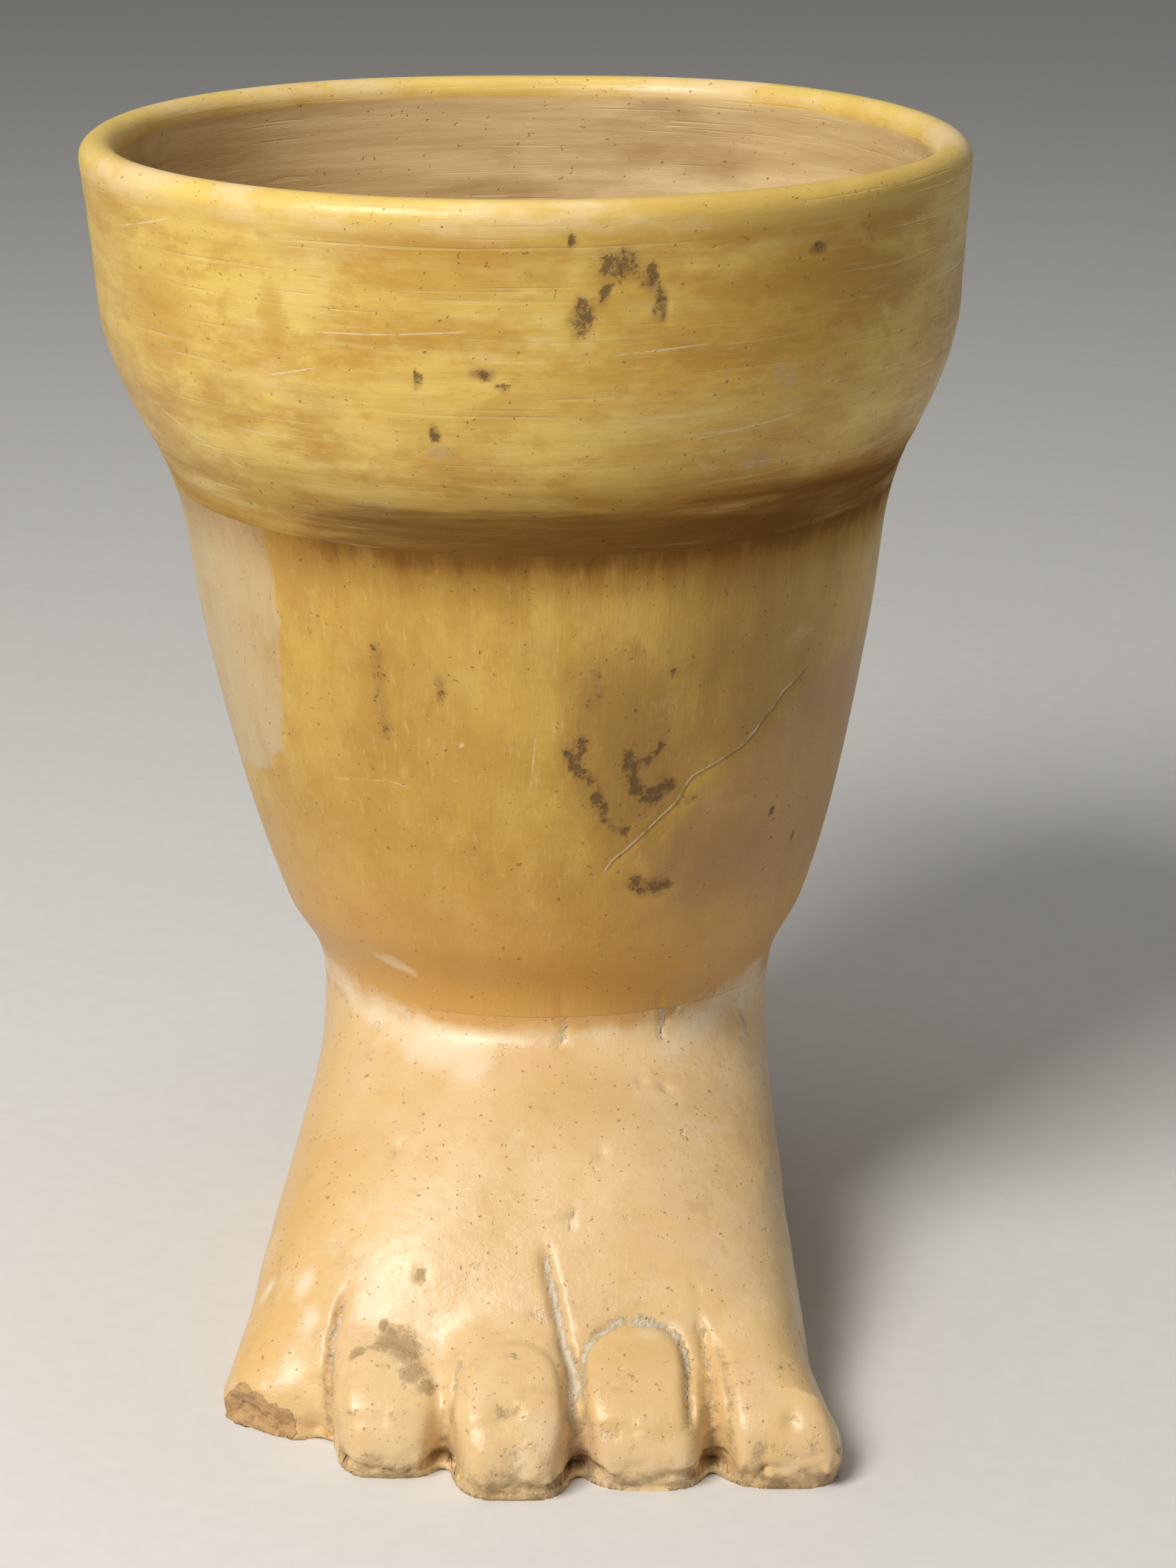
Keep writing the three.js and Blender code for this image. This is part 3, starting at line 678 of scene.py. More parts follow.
def burnished_ochre(name, colours, slip, deep, stroke, drawn_out, streaky, thinned, varied):
    """Ochre slip rubbed to a soft shine.

    The stroke draws the rubbing marks out along one axis, and drawn_out says how far the clouds follow it.
    The last three are shares: how streaky the slip is, how thinly it is rubbed and how much it varies.
    """
    paint = ClayPaint(name)
    pale, dark = colours.pale_ochre, colours.groove_dirt_and_shade
    drawn = [blend(1, side, drawn_out) for side in stroke]
    half_drawn = [blend(1, side, 0.5) for side in drawn]
    long_drawn = [blend(1, side, 3) for side in stroke]
    broad = paint.clouds(0.045, 3, 0.55)
    blotches = paint.clouds(0.015, 9, 0.68, drawn, 7.0)
    thin = paint.clouds(0.022, 8, 0.66, drawn, 13.0)
    dapple = paint.clouds(0.0055, 8, 0.7, half_drawn, 17.0)
    fine = paint.clouds(0.005, 6, 0.7)
    strokes = paint.clouds(0.0007, 3, 0.7, stroke)
    wide_strokes = paint.clouds(0.005, 5, 0.7, stroke, 2.0)
    rubbed_strokes = paint.mask(strokes, 0.56, 0.76)
    scratches = paint.times(paint.mask(paint.clouds(0.0009, 2, 0.5, long_drawn, 23.0), 0.62, 0.72), streaky)
    specks = paint.mask(paint.clouds(0.0009, 2, 0.5, shift=9.0), 0.69, 0.76)
    lip = paint.ragged("lip", blotches, 0.3, 1.0, 0.6)
    # Dirt and painted shade in the groove under the collar, darkest where the collar overhangs the leg
    dirt_and_shade = paint.ragged("dirt_and_shade", wide_strokes, 0.0, 1.1, 0.2 + 0.4 * streaky)
    stains = paint.ragged("stain", paint.clouds(0.0016, 6, 0.8, shift=4.0), 0.62, 1.0, 1.3)
    broken = paint.mask(paint.clouds(0.003, 4, 0.7, shift=3.0), 0.36, 0.56)
    # A painted shadow: a dark line drawn beside the crack
    crack_shadow = paint.times(paint.fine_line(0.3, 0.36), paint.mask(paint.layer("line_tone"), 0.55, 0.9))
    faded = paint.coats(
        colours.faded,
        (paint.mask(blotches, 0.42, 0.66), 1.0, colours.inside_tan),
        (rubbed_strokes, 0.4, pale),
    )
    inner = paint.coats(
        colours.inside_clay,
        (paint.mask(paint.clouds(0.004, 5, 0.65, (14, 14, 1), 5.0), 0.36, 0.68), 1.0, colours.inside_tan),
        (paint.mask(paint.clouds(0.018, 4, 0.6, (2, 2, 1), 8.0), 0.48, 0.7), 0.6, colours.inside_brown),
    )
    inside = paint.layer("inside")
    tint = paint.coats(
        slip,
        (paint.mask(blotches, 0.42, 0.64), varied, deep),
        (paint.mask(broad, 0.48, 0.7), 0.5, deep),
        (paint.mask(thin, 0.52, 0.7), 0.5 * thinned, pale),
        (paint.mask(dapple, 0.5, 0.64), 0.5 * varied, deep),
        (paint.mask(dapple, 0.46, 0.34), 0.25 * thinned, pale),
        (paint.mask(wide_strokes, 0.48, 0.74), 0.8 * streaky, deep),
        (paint.mask(wide_strokes, 0.46, 0.28), 0.7 * streaky, pale),
        (rubbed_strokes, 0.35, pale),
        (paint.mask(fine, 0.56, 0.76), 0.22, colours.ochre_orange),
        (paint.layer("orange"), 0.75, colours.ochre_orange),
        (paint.ragged("brown", blotches, 0.2, 0.9), 0.6, deep),
        (lip, 0.6, colours.lip_yellow),
        (paint.times(lip, paint.mask(thin, 0.5, 0.6)), 0.65, colours.lip_worn),
        (paint.ragged("olive", blotches, 0.05, 1.15, 0.7), 0.7, colours.olive),
        (paint.ragged("rose", blotches, 0.15, 1.0, 0.7), 0.6, colours.rose_clay),
        (paint.ragged("faded", fine, 0.4, 0.64, 0.7), 0.8, faded),
        (inside, 1.0, inner),
        # The groove's dirt and painted shade, deepest at the joint
        (dirt_and_shade, 0.85, colours.leg_groove_dirt_and_shade),
        (paint.mask(dirt_and_shade, 0.7, 1.0), 0.65, dark),
        (scratches, 0.3, pale),
        (specks, 0.5, dark),
        (paint.ragged("stain", fine, 0.15, 0.95, 0.5), 0.65, colours.smudge),
        (stains, 0.7, colours.stain),
        (paint.ragged("pale", fine, 0.3, 1.0, 0.9), 0.7, colours.luting),
        (paint.rubbed(), 0.65, colours.luting),
        # The crack's painted shadow
        (crack_shadow, 0.4, dark),
        (paint.times(paint.fine_line(0.18), broken), 0.75, colours.luting),
    )
    gloss = paint.total((paint.scaled(fine, 0.22, 0.46), 1), (stains, 0.25), (inside, 0.16), (dirt_and_shade, 0.4))
    relief = paint.total((strokes, 0.5), (fine, 0.7), (stains, -0.7), (scratches, -0.5), (specks, -0.6))
    paint.feed(paint.shader, {"Specular IOR Level": paint.scaled(dirt_and_shade, 0.5, 0.0)})
    return paint.finish(tint, gloss, relief, 0.15 * MM)


def worn_peach(name, colours):
    """Pale peach slip with pores, chalk, grime with painted shade, and worn places, and with luting rubbed
    over it.
    """
    paint = ClayPaint(name)
    mottle = paint.clouds(0.011, 8, 0.66, shift=3.0)
    fine = paint.clouds(0.0022, 5, 0.7, shift=1.0)
    worn = paint.ragged("worn", fine, 0.42, 0.6)
    flakes = paint.mask(paint.clouds(0.0042, 4, 0.6, shift=31.0), 0.66, 0.71)
    # Real grime, with painted shade on clay that faces down and low on the toes' fronts
    grime_and_shade = paint.ragged("grime_and_shade", paint.clouds(0.0036, 7, 0.72, shift=41.0), 0.34, 0.8, 0.75)
    chalk = paint.ragged("chalk", fine, 0.42, 0.8, 0.9)
    specks = paint.mask(paint.clouds(0.0008, 2, 0.5, shift=6.0), 0.69, 0.76)
    tint = paint.coats(
        colours.peach,
        (paint.mask(paint.clouds(0.03, 4), 0.4, 0.66), 1.0, colours.peach_tan),
        (paint.layer("orange"), 0.8, colours.peach_gold),
        (paint.mask(mottle, 0.5, 0.66), 0.55, colours.peach_tan),
        (paint.mask(paint.clouds(0.02, 7, 0.64, shift=15.0), 0.5, 0.66), 0.45, colours.blush),
        (paint.mask(mottle, 0.45, 0.33), 0.3, colours.luting),
        (paint.mask(fine, 0.55, 0.75), 0.3, colours.ochre_orange),
        (paint.mask(paint.clouds(0.0065, 8, 0.72, shift=51.0), 0.54, 0.7), 0.22, colours.grime_and_shade),
        (paint.ragged("ochre", mottle, 0.25, 0.95, 0.9), 0.85, colours.ochre_orange),
        (paint.rubbed(), 0.8, colours.luting),
        (worn, 0.9, colours.broken_clay),
        (paint.times(worn, paint.mask(fine, 0.5, 0.66)), 0.6, colours.grime_and_shade),
        (flakes, 0.4, colours.pale_dirt),
        (grime_and_shade, 0.6, colours.grime_and_shade),
        (chalk, 0.85, colours.pale_dirt),
        (specks, 0.5, colours.grime_and_shade),
    )
    rough = paint.math("MAXIMUM", worn, paint.math("MAXIMUM", grime_and_shade, chalk))
    gloss = paint.total((paint.scaled(mottle, 0.2, 0.38), 1), (rough, 0.34))
    grains = paint.times(rough, fine)
    relief = paint.total((fine, 0.6), (mottle, 0.9), (flakes, -0.6), (specks, -0.7), (grains, 2))
    return paint.finish(tint, gloss, relief, 0.2 * MM)


def pressed_clay(name, colours):
    """Bare clay of the coils inside, pressed with a finger and left rough."""
    paint = ClayPaint(name)
    broad = paint.clouds(0.012, 4)
    fine = paint.clouds(0.0022, 5, 0.7, shift=1.0)
    tint = paint.coats(
        colours.bare_clay,
        (paint.mask(broad, 0.4, 0.65), 1.0, colours.inside_brown),
        (paint.mask(fine, 0.5, 0.72), 0.4, colours.inside_clay),
    )
    return paint.finish(tint, paint.scaled(fine, 0.65, 0.9), paint.math("ADD", fine, broad), 0.3 * MM)


def burnished_collar(name, colours):
    slips = (colours.collar_ochre, colours.collar_brown)
    return burnished_ochre(name, colours, *slips, (12, 12, 1), 0.13, 0.7, 1.0, 1.0)


def burnished_leg(name, colours):
    slips = (colours.leg_ochre, colours.leg_brown)
    return burnished_ochre(name, colours, *slips, (1, 1, 14), 0.05, 0.12, 0.35, 0.55)


# What makes each material; the luting is worn like the slip next to it
MATERIALS = {
    "burnished_collar": burnished_collar,
    "burnished_leg": burnished_leg,
    "peach_slip_worn": worn_peach,
    "rubbed_luting": worn_peach,
    "pressed_clay": pressed_clay,
}


def material_of(context, name):
    """A material that several pieces share, made once."""
    return bpy.data.materials.get(name) or MATERIALS[name](name, colours_of(context))


# Cup

# Rounding of the groove under the collar and of the neck over the ankle; the neck's outline leaves the ankle
# and meets the leg by way of these parts of its rounding
GROOVE_ROUND = 9 * MM
NECK_ROUND = 13 * MM
NECK_LEAVES, NECK_MEETS = 3, 2.4
NECK_STEPS = 18
CROWN_STEPS = 18
# Power of the mouth's outline at the back: 2 is round
MOUTH_SQUARENESS = 2.15
# How far the lip dips at the back and on the big toe's side, in mm, and the degrees between which it does so
BACK_DIP, BACK_DIPS = 0.2, (145, 178)
SIDE_DIP, SIDE_DIPS = 0.5, (40, 95, 95, 150)
# Spread of the rubbing strokes' pattern along each axis, per metre, and their depth
COLLAR_STROKES = Vector((40, 40, 600))
LEG_STROKES = Vector((420, 420, 25))
STROKE_DEPTH = 0.07 * MM
# Degrees between which the groove's dirt and painted shade are darkest, and their share elsewhere
DARKEST_GROOVE, PALER_GROOVE = (-62, -18, 62, 110), 0.5
# Heights over the groove between which dirt with painted shade, and brown slip, begin and end on collar and
# leg, in mm
COLLAR_DIRT_AND_SHADE, LEG_DIRT_AND_SHADE, BROWN_TOP = (2, 18), (-15, 2), (24, 38)
# Shares of the collar's stains, of its brown top and of its worn places
STAIN_SHARE, BROWN_SHARE, WORN_SHARE = 0.94, 0.45, 0.5
# Heights over the ankle where the leg's orange slip fades, in mm
LEG_ORANGE = (4, 42)
# Where clay shows through beyond the crack, in degrees and in heights, and how far past the crack, in mm
ROSE_TURN, ROSE_HEIGHT, ROSE_EDGE = (8, 34, 70, 120), (54, 72, 100, 112), (-0.5, 7)
# Middle of the faded patch in degrees, how far round it fades, and how soft its border is, in mm
FADED_MIDDLE, FADED_ENDS, FADED_EDGE = -95, (45, 75), (-3, 3)
# Depth of the stains and of the crack, and the crack's half width, in mm
STAIN_DEPTH = 0.12
CRACK_DEPTH = 0.22
CRACK_WIDTH = 0.45
# The leg lies flat on the foot up to the first height over its lower edge, and leaves it at the second; clay
# under the last height belongs to that edge
PRESSED_FLAT = 3 * MM
PRESSED_HEIGHT = 13 * MM
LOWEST = 0.01 * MM
# How far the coils inside are pressed in, and the spread of the pressing
ANKLE_PRESS, ANKLE_SPREAD = 0.4 * MM, 9 * MM
SOLE_PRESS, SOLE_SPREAD = 0.5 * MM, 7 * MM
# The ankle's coil starts this far back at its upper edge, and the sole's coil sinks in by this share
COIL_SLOPE = 1.2 * MM
COIL_SINK = 0.35
COIL_STEP = 0.6 * MM
CUP_LAYERS = (
    *("lip", "orange", "brown", "olive", "rose", "faded", "stain", "pale", "luting", "dirt_and_shade"),
    *("line_offset", "line_tone"),
)


def lip_sides(sizes):
    """Outer side and crown, and inner side, of the lip's outline."""
    round_radius = sizes.lip_wall / 2
    middle = Vector((sizes.lip_radius() - round_radius, sizes.height - round_radius))
    turns = [math.pi * k / CROWN_STEPS for k in range(CROWN_STEPS + 1)]
    crown = [middle + round_radius * Vector((math.cos(turn), math.sin(turn))) for turn in turns]
    base = sizes.lip_base()
    rise = straight((base, sizes.lip_z()), crown[0], OUTER_STEP)
    fall = straight(crown[-1], (base - sizes.lip_wall, sizes.lip_z()), OUTER_STEP)
    return rise[:-1] + crown, fall[1:]


def outer_walls(sizes):
    """Outer sides of the leg and of the collar, with a rounded groove that their joint runs through."""
    ankle, low, groove = sizes.ankle_radius, sizes.ankle_height + sizes.luting_half, sizes.groove_z()
    corner = Vector((sizes.groove_radius, groove))
    leg = curve((ankle, low), (sizes.calf_radius, sizes.ankle_height + sizes.calf_rise), corner, OUTER_STEP)
    upright = (sizes.collar_radius, groove + sizes.collar_round)
    collar = curve(corner, (sizes.collar_radius, groove + sizes.collar_turn), upright, OUTER_STEP)
    leg = [spot for spot in leg if (spot - corner).length > GROOVE_ROUND and spot.y > low + NECK_ROUND]
    collar = [spot for spot in collar if (spot - corner).length > GROOVE_ROUND]
    flare = (leg[1] - leg[0]).normalized() * NECK_ROUND / NECK_MEETS
    upwards = Vector((ankle, low + NECK_ROUND / NECK_LEAVES))
    neck = bezier((ankle, low), upwards, leg[0] - flare, leg[0], NECK_STEPS)
    groove_round = curve(leg[-1], corner, collar[0], OUTER_STEP)
    joint = len(groove_round) // 2
    wall = straight(collar[-1], (sizes.lip_base(), sizes.lip_z()), OUTER_STEP)
    return neck[:-1] + leg + groove_round[1 : joint + 1], groove_round[joint:-1] + collar + wall[1:]


def collar_inner(sizes):
    groove, inner = sizes.groove_z(), sizes.collar_radius - sizes.wall
    turn, top = groove + sizes.collar_turn, groove + sizes.collar_round
    back = straight((sizes.lip_base() - sizes.lip_wall, sizes.lip_z()), (inner, top), INNER_STEP)
    foot = (sizes.groove_radius - sizes.wall, groove + sizes.scarf)
    return back[:-1] + curve((inner, top), (inner, turn + sizes.scarf), foot, INNER_STEP)


def leg_inner(sizes):
    calf = (sizes.calf_radius - sizes.wall, sizes.ankle_height + sizes.calf_rise)
    top = (sizes.groove_radius - sizes.wall, sizes.groove_z() + sizes.scarf)
    foot = (sizes.ankle_radius - sizes.wall, sizes.ankle_height + sizes.luting_half)
    return curve(top, calf, foot, INNER_STEP)


def mouth_shape(sizes, co):
    """Share of the radius at a place of the collar: its mouth is a little square at the back."""
    if co.y < 0:
        return 1.0
    radius = math.hypot(co.x, co.y)
    power = MOUTH_SQUARENESS
    corner = (abs(co.x / radius) ** power + abs(co.y / radius) ** power) ** (-1 / power)
    return blend(1, corner, smooth(co.z, sizes.groove_z() + sizes.collar_turn, sizes.lip_z()))


def rim_dip(angle, height, sizes):
    """How far the lip dips, in mm: at the back, and a little on the big toe's side."""
    dip = BACK_DIP * smooth(abs(angle), *BACK_DIPS) + SIDE_DIP * between(angle, *SIDE_DIPS)
    return dip * smooth(height * MM, sizes.groove_z(), sizes.height)


def shape_cup(bm, sizes, stroke, marks):
    """Settles a turned piece of the cup, dents it by hand and paints the marks of its outer side."""
    layers = {name: bm.verts.layers.float.new(name) for name in CUP_LAYERS}
    inside = bm.verts.layers.float["inside"]
    for vert in bm.verts:
        angle, height = degrees_round(vert.co), vert.co.z / MM
        painted = marks(angle, height) if vert[inside] < 1 else {}
        outwards = flat_way(vert.co)
        strokes = STROKE_DEPTH * (noise.noise(vert.co * stroke) + 1)
        dent = hand_dents(vert.co) + strokes + painted.pop("dent", 0.0) * MM
        spot = vert.co * mouth_shape(sizes, vert.co)
        spot.z = vert.co.z - rim_dip(angle, height, sizes) * MM
        vert.co = settled(sizes, spot) - outwards * dent
        for name, value in painted.items():
            vert[layers[name]] = value


def groove_shade(angle):
    """How much dirt and painted shade the groove under the collar gets: most in front and towards the big
    toe.
    """
    return blend(PALER_GROOVE, 1.0, between(angle, *DARKEST_GROOVE))


def collar_marks(sizes):
    """What is painted on the outer side of the collar and the lip, from degrees round and height in mm."""
    wall, groove = sizes.collar_radius / MM, sizes.groove_z() / MM
    lip, top = sizes.lip_z() / MM, sizes.height / MM
    lines = [(on_wall(path, wall), COLLAR_TONE) for path in COLLAR_SCRATCHES]

    def marks(angle, height):
        offset, tone = draw_lines(flattened(angle, height, wall), lines)
        stain = STAIN_SHARE * blot(angle, height, wall, COLLAR_STAINS)
        brown_top = BROWN_SHARE * smooth(height - groove, *BROWN_TOP)
        return {
            "lip": smooth(height, lip, top - 1),
            "brown": max(blot(angle, height, wall, COLLAR_BROWN), brown_top),
            "stain": stain,
            "faded": WORN_SHARE * blot(angle, height, wall, COLLAR_WORN),
            # Dirt and painted shade on the collar's underside over the groove
            "dirt_and_shade": (1 - smooth(height - groove, *COLLAR_DIRT_AND_SHADE)) * groove_shade(angle),
            "line_offset": offset,
            "line_tone": tone,
            "dent": STAIN_DEPTH * stain,
        }

    return marks


def leg_marks(sizes):
    """What is painted on the outer side of the leg, from degrees round and height in mm."""
    wall, groove, ankle = sizes.calf_radius / MM, sizes.groove_z() / MM, sizes.ankle_height / MM
    crack, (border, _) = on_wall(LEG_CRACK, wall), on_wall(PATCH_BORDER, wall)
    lines = [(crack, CRACK_TONE)] + [(on_wall(path, wall), LEG_TONE) for path in LEG_SCRATCHES]
    streaks, smears = streaks_on_wall(LEG_STREAKS, wall), luting_paths(sizes)

    def marks(angle, height):
        place = flattened(angle, height, wall)
        offset, tone = draw_lines(place, lines)
        stain = streak(place, streaks)
        past_crack, _ = line_offset(place, crack[0])
        past_border, _ = line_offset(place, border)
        beyond = between(angle, *ROSE_TURN) * between(height, *ROSE_HEIGHT)
        within = 1 - smooth(abs(angle - FADED_MIDDLE), *FADED_ENDS)
        cut_open = math.exp(-((offset / CRACK_WIDTH) ** 2)) * tone
        return {
            "orange": 1 - smooth(height - ankle, *LEG_ORANGE),
            "olive": blot(angle, height, wall, LEG_CLOUDS),
            "rose": smooth(past_crack, *ROSE_EDGE) * beyond,
            "faded": smooth(-past_border, *FADED_EDGE) * within,
            "stain": stain,
            "pale": blot(angle, height, wall, LEG_PALE),
            "luting": luted(sizes, smears, angle, height - ankle),
            # Dirt and painted shade on the leg's top, under the collar's overhang
            "dirt_and_shade": smooth(height - groove, *LEG_DIRT_AND_SHADE) * groove_shade(angle),
            "line_offset": offset,
            "line_tone": tone,
            "dent": STAIN_DEPTH * stain + CRACK_DEPTH * cut_open,
        }

    return marks


class VESSEL_OT_lip(bpy.types.Operator):
    """Builds the coil that finishes the mouth"""

    bl_idname = "vessel.lip"
    bl_label = "Lip"

    def execute(self, context):
        sizes = sizes_of(context)
        bm = turned(*lip_sides(sizes), TURNS)
        shape_cup(bm, sizes, COLLAR_STROKES, collar_marks(sizes))
        finish_piece(context, bm, "lip", "burnished_collar", ["rim_coil"])
        return {"FINISHED"}


class VESSEL_OT_collar(bpy.types.Operator):
    """Builds the wide collar under the lip"""

    bl_idname = "vessel.collar"
    bl_label = "Collar"

    def execute(self, context):
        sizes = sizes_of(context)
        bm = turned(outer_walls(sizes)[1], collar_inner(sizes), TURNS)
        shape_cup(bm, sizes, COLLAR_STROKES, collar_marks(sizes))
        finish_piece(context, bm, "collar", "burnished_collar", ["collar_band"])
        return {"FINISHED"}


def press_onto_foot(context, bm):
    """Presses the leg's lowest clay onto the foot's, so that the one flows into the other."""
    sizes = sizes_of(context)
    foot = foot_clay(context)
    surface = BVHTree.FromBMesh(foot)
    foot.free()
    inside = bm.verts.layers.float["inside"]
    low = sizes.ankle_height + sizes.luting_half
    for vert in bm.verts:
        rise = vert.co.z - low - slant_at(sizes, vert.co.y)
        if vert[inside] < 1 and rise < PRESSED_HEIGHT:
            axis = Vector((sizes.ankle_shift, 0, vert.co.z))
            outwards = (vert.co - axis).normalized()
            hit = surface.ray_cast(axis + outwards * sizes.foot_reach, -outwards)[0]
            vert.co = vert.co.lerp(hit, 1 - smooth(rise, PRESSED_FLAT, PRESSED_HEIGHT))
            if rise < LOWEST:
                vert.co.z = low + slant_at(sizes, vert.co.y)


class VESSEL_OT_leg(bpy.types.Operator):
    """Builds the leg under the collar"""

    bl_idname = "vessel.leg"
    bl_label = "Leg"

    def execute(self, context):
        sizes = sizes_of(context)
        bm = turned(outer_walls(sizes)[0], leg_inner(sizes), TURNS)
        shape_cup(bm, sizes, LEG_STROKES, leg_marks(sizes))
        press_onto_foot(context, bm)
        finish_piece(context, bm, "leg", "burnished_leg", ["leg_wall"])
        return {"FINISHED"}


class VESSEL_OT_ankle_coil(bpy.types.Operator):
    """Builds the coil pressed over the ankle's joint inside the vessel"""

    bl_idname = "vessel.ankle_coil"
    bl_label = "Ankle coil"

    def execute(self, context):
        sizes = sizes_of(context)
        throat, middle = sizes.ankle_radius - sizes.wall, sizes.ankle_height
        top, low = (throat + COIL_SLOPE, middle + sizes.coil_half), (throat, middle - sizes.coil_half)
        swell = curve(top, (throat - 2 * sizes.coil_bulge, middle), low, MM)
        bm = turned(swell, [(throat, middle)], TURNS // 4)
        for vert in bm.verts:
            press = ANKLE_PRESS * (1 - noise.noise(vert.co / ANKLE_SPREAD))
            vert.co = settled(sizes, vert.co) - flat_way(vert.co) * press
        finish_piece(context, bm, "ankle_coil", "pressed_clay", ["ankle_seam_coil"])
        return {"FINISHED"}


# Foot: one body of clay with its toes, cut into the pieces it was joined from

# Power of the foot's outline towards the toes, how long its flare lasts up the ankle, and how many times
# finer the heel is followed than the instep
FRONT_SQUARENESS = 8
FLARE_HOLD = 1.2
HEEL_FINENESS = 4
# Powers of a toe's lobe along each axis, over and under its middle, and how finely it is made and found
TOE_SQUARENESS = Vector((5, 2.4, 2.5))
UNDER_SQUARENESS = Vector((3.4, 2.8, 3.6))
TOE_SEGMENTS, TOE_RINGS = 64, 40
HALVINGS = 24
# How the toes crowd, taper to their roots, stand apart, lie off the axis, splay over a height at the row's
# ends, and fan out
TOE_CROWDING = 1.2
TOE_TAPER = 0.3
TOE_GAP = 0.4 * MM
TOE_SHIFT = -0.2 * MM
TOE_SPLAY = 0.35
SPLAY_FOOT = 5 * MM
FAN_LEAN = 0.06
FAN_SPREAD = 3.5
# The toes by name, and the side of the row that each one closes
TOES = {"little_toe": -1, "fourth_toe": 0, "middle_toe": 0, "second_toe": 0, "big_toe": 1}
# Rounding of the sole's edge, and how far the foot's top lies under the ankle's joint
SOLE_EDGE = 1.2 * MM
INSTEP_DROP = 3 * MM
# The hollow's reach to the front and into the leg, and the leg's overlap with the foot
CHAMBER_REACH = 62 * MM
CHAMBER_NECK = 14 * MM
NECK_OVERLAP = 20 * MM
# Clay lower than this stands on the floor
FOOTING = 0.3 * MM
# How often the clay is rubbed smooth: the whole, the sides, the toes' roots and the ankle's crease. The sides
# and the roots are rubbed from several limits, and the crease within a reach of its joint, in mm.
RUBS = 3
SIDE_RUBS, SIDE_LIMITS = 90, (31, 34, 37)
ROOT_RUBS, ROOT_LIMITS = 24, (-80, -77, -74, -71)
CREASE_RUBS, CREASE_REACH = 160, 9
# Where those zones end: the sides' front, back, low and top, the roots' back and low, and the crease's front
SIDE_FRONT, SIDE_BACK, SIDE_LOW, SIDE_TOP = -84, -36, 4, 30
ROOT_BACK, ROOT_LOW = -48, 9
CREASE_FRONT = -62
# Extra dents of the foot: depth and spread in mm
FOOT_DENTS = ((0.04, 2.2), (0.35, 17))
# Lines and broken edges are cut in clay in front of the first y and over a height, in mm
CARVED_FROM, CARVED_OVER = -16, 1
# Unevenness of a cut line: size and spread in mm
LINE_WAVES = ((0.3, 1.2), (0.25, 3.1))
# A pit's dirt reaches this many times its radius; shares of chalk in it and of grime round it
PIT_REACH, PIT_CHALK, PIT_GRIME = 3, 0.35, 0.5
# A cut opens this way: upwards and to the front
CUT_WAY = Vector((0, -0.55, 0.83))
# Lines deeper than this part two toes, in mm
PARTING = 1
# The toes' tips lie between these distances to the front; the notches between them and the curl under them
# are given by size and by the heights where they fade, in mm
FORWARDS = Vector((0, -1, 0))
TIPS = (79, 87)
NOTCH_WIDTH, NOTCH_DEPTH, NOTCH_FADES = 2.3, 3.8, (5, 13)
TIP_CURL, CURL_FADES = 1.3, (0, 3.4)
# Rough lower edge of the toes: where it begins to the front, and the heights where it fades, in mm
ROUGH_FRONT, ROUGH_FADES = (66, 76), (2, 6.5)
# Line where the toes were pressed onto the slab: depth, height and half width in mm, its rise past an x on
# the big toe's side, its unevenness, and where it begins to the front
SLAB_DEPTH, SLAB_HEIGHT, SLAB_WIDTH = 0.9, 2.6, 0.5
SLAB_RISE, SLAB_RISES_AT = 0.2, 28
SLAB_WAVES = ((2.0, 8), (1.0, 2.4))
SLAB_FRONT = (72, 80)
# The little toe's tip is broken off: x that ends its side, a place on the break in mm, the way that the break
# faces, its unevenness, and the distance given to clay off that toe
BREAK_SIDE = -28.5
BREAK_PLACE = Vector((-40, -73, 5))
BREAK_FACING = Vector((-0.5, -0.86, -0.12)).normalized()
BREAK_WAVES = ((0.8, 4), (0.5, 1.3))
UNBROKEN = -10.0
FOOT_LAYERS = ("chalk", "grime_and_shade", "worn", "luting", "orange", "ochre")


def signed_power(value, exponent):
    return math.copysign(abs(value) ** exponent, value)


def row_width(sizes):
    return sum(toe[0] for toe in sizes.toes()) + (len(TOES) - 1) * TOE_GAP


def foot_top(sizes):
    return sizes.ankle_height - INSTEP_DROP


def foot_place(sizes, turn, front, back, height, inset):
    """A place on the foot's ring at one height: square towards the toes, round at the heel."""
    rise = min(max((height - sizes.sole_thickness) / (foot_top(sizes) - sizes.sole_thickness), 0), 1)
    share = smooth(rise) ** FLARE_HOLD
    waist = blend(sizes.foot_half_width, sizes.ankle_radius, share) - inset
    root = blend(row_width(sizes) / 2 - sizes.root_overhang, sizes.ankle_radius, share) - inset
    setback = blend(sizes.little_toe_setback / sizes.foot_reach, 0, share)
    forward = math.sin(turn) < 0
    power = 2 / (blend(FRONT_SQUARENESS, 2, share) if forward else 2)
    across, along = signed_power(math.cos(turn), power), signed_power(math.sin(turn), power)
    flare = smooth(-along) if forward else 0
    fall = 1 - setback * across * across if across < 0 else 1
    x = sizes.ankle_shift * share + (waist + (root - waist) * flare) * across
    y = (front * fall if forward else back) * along
    slant = -sizes.crease_rise * y / max(math.hypot(x - sizes.ankle_shift, y), MM)
    return Vector((x, y, height + slant * rise**3))


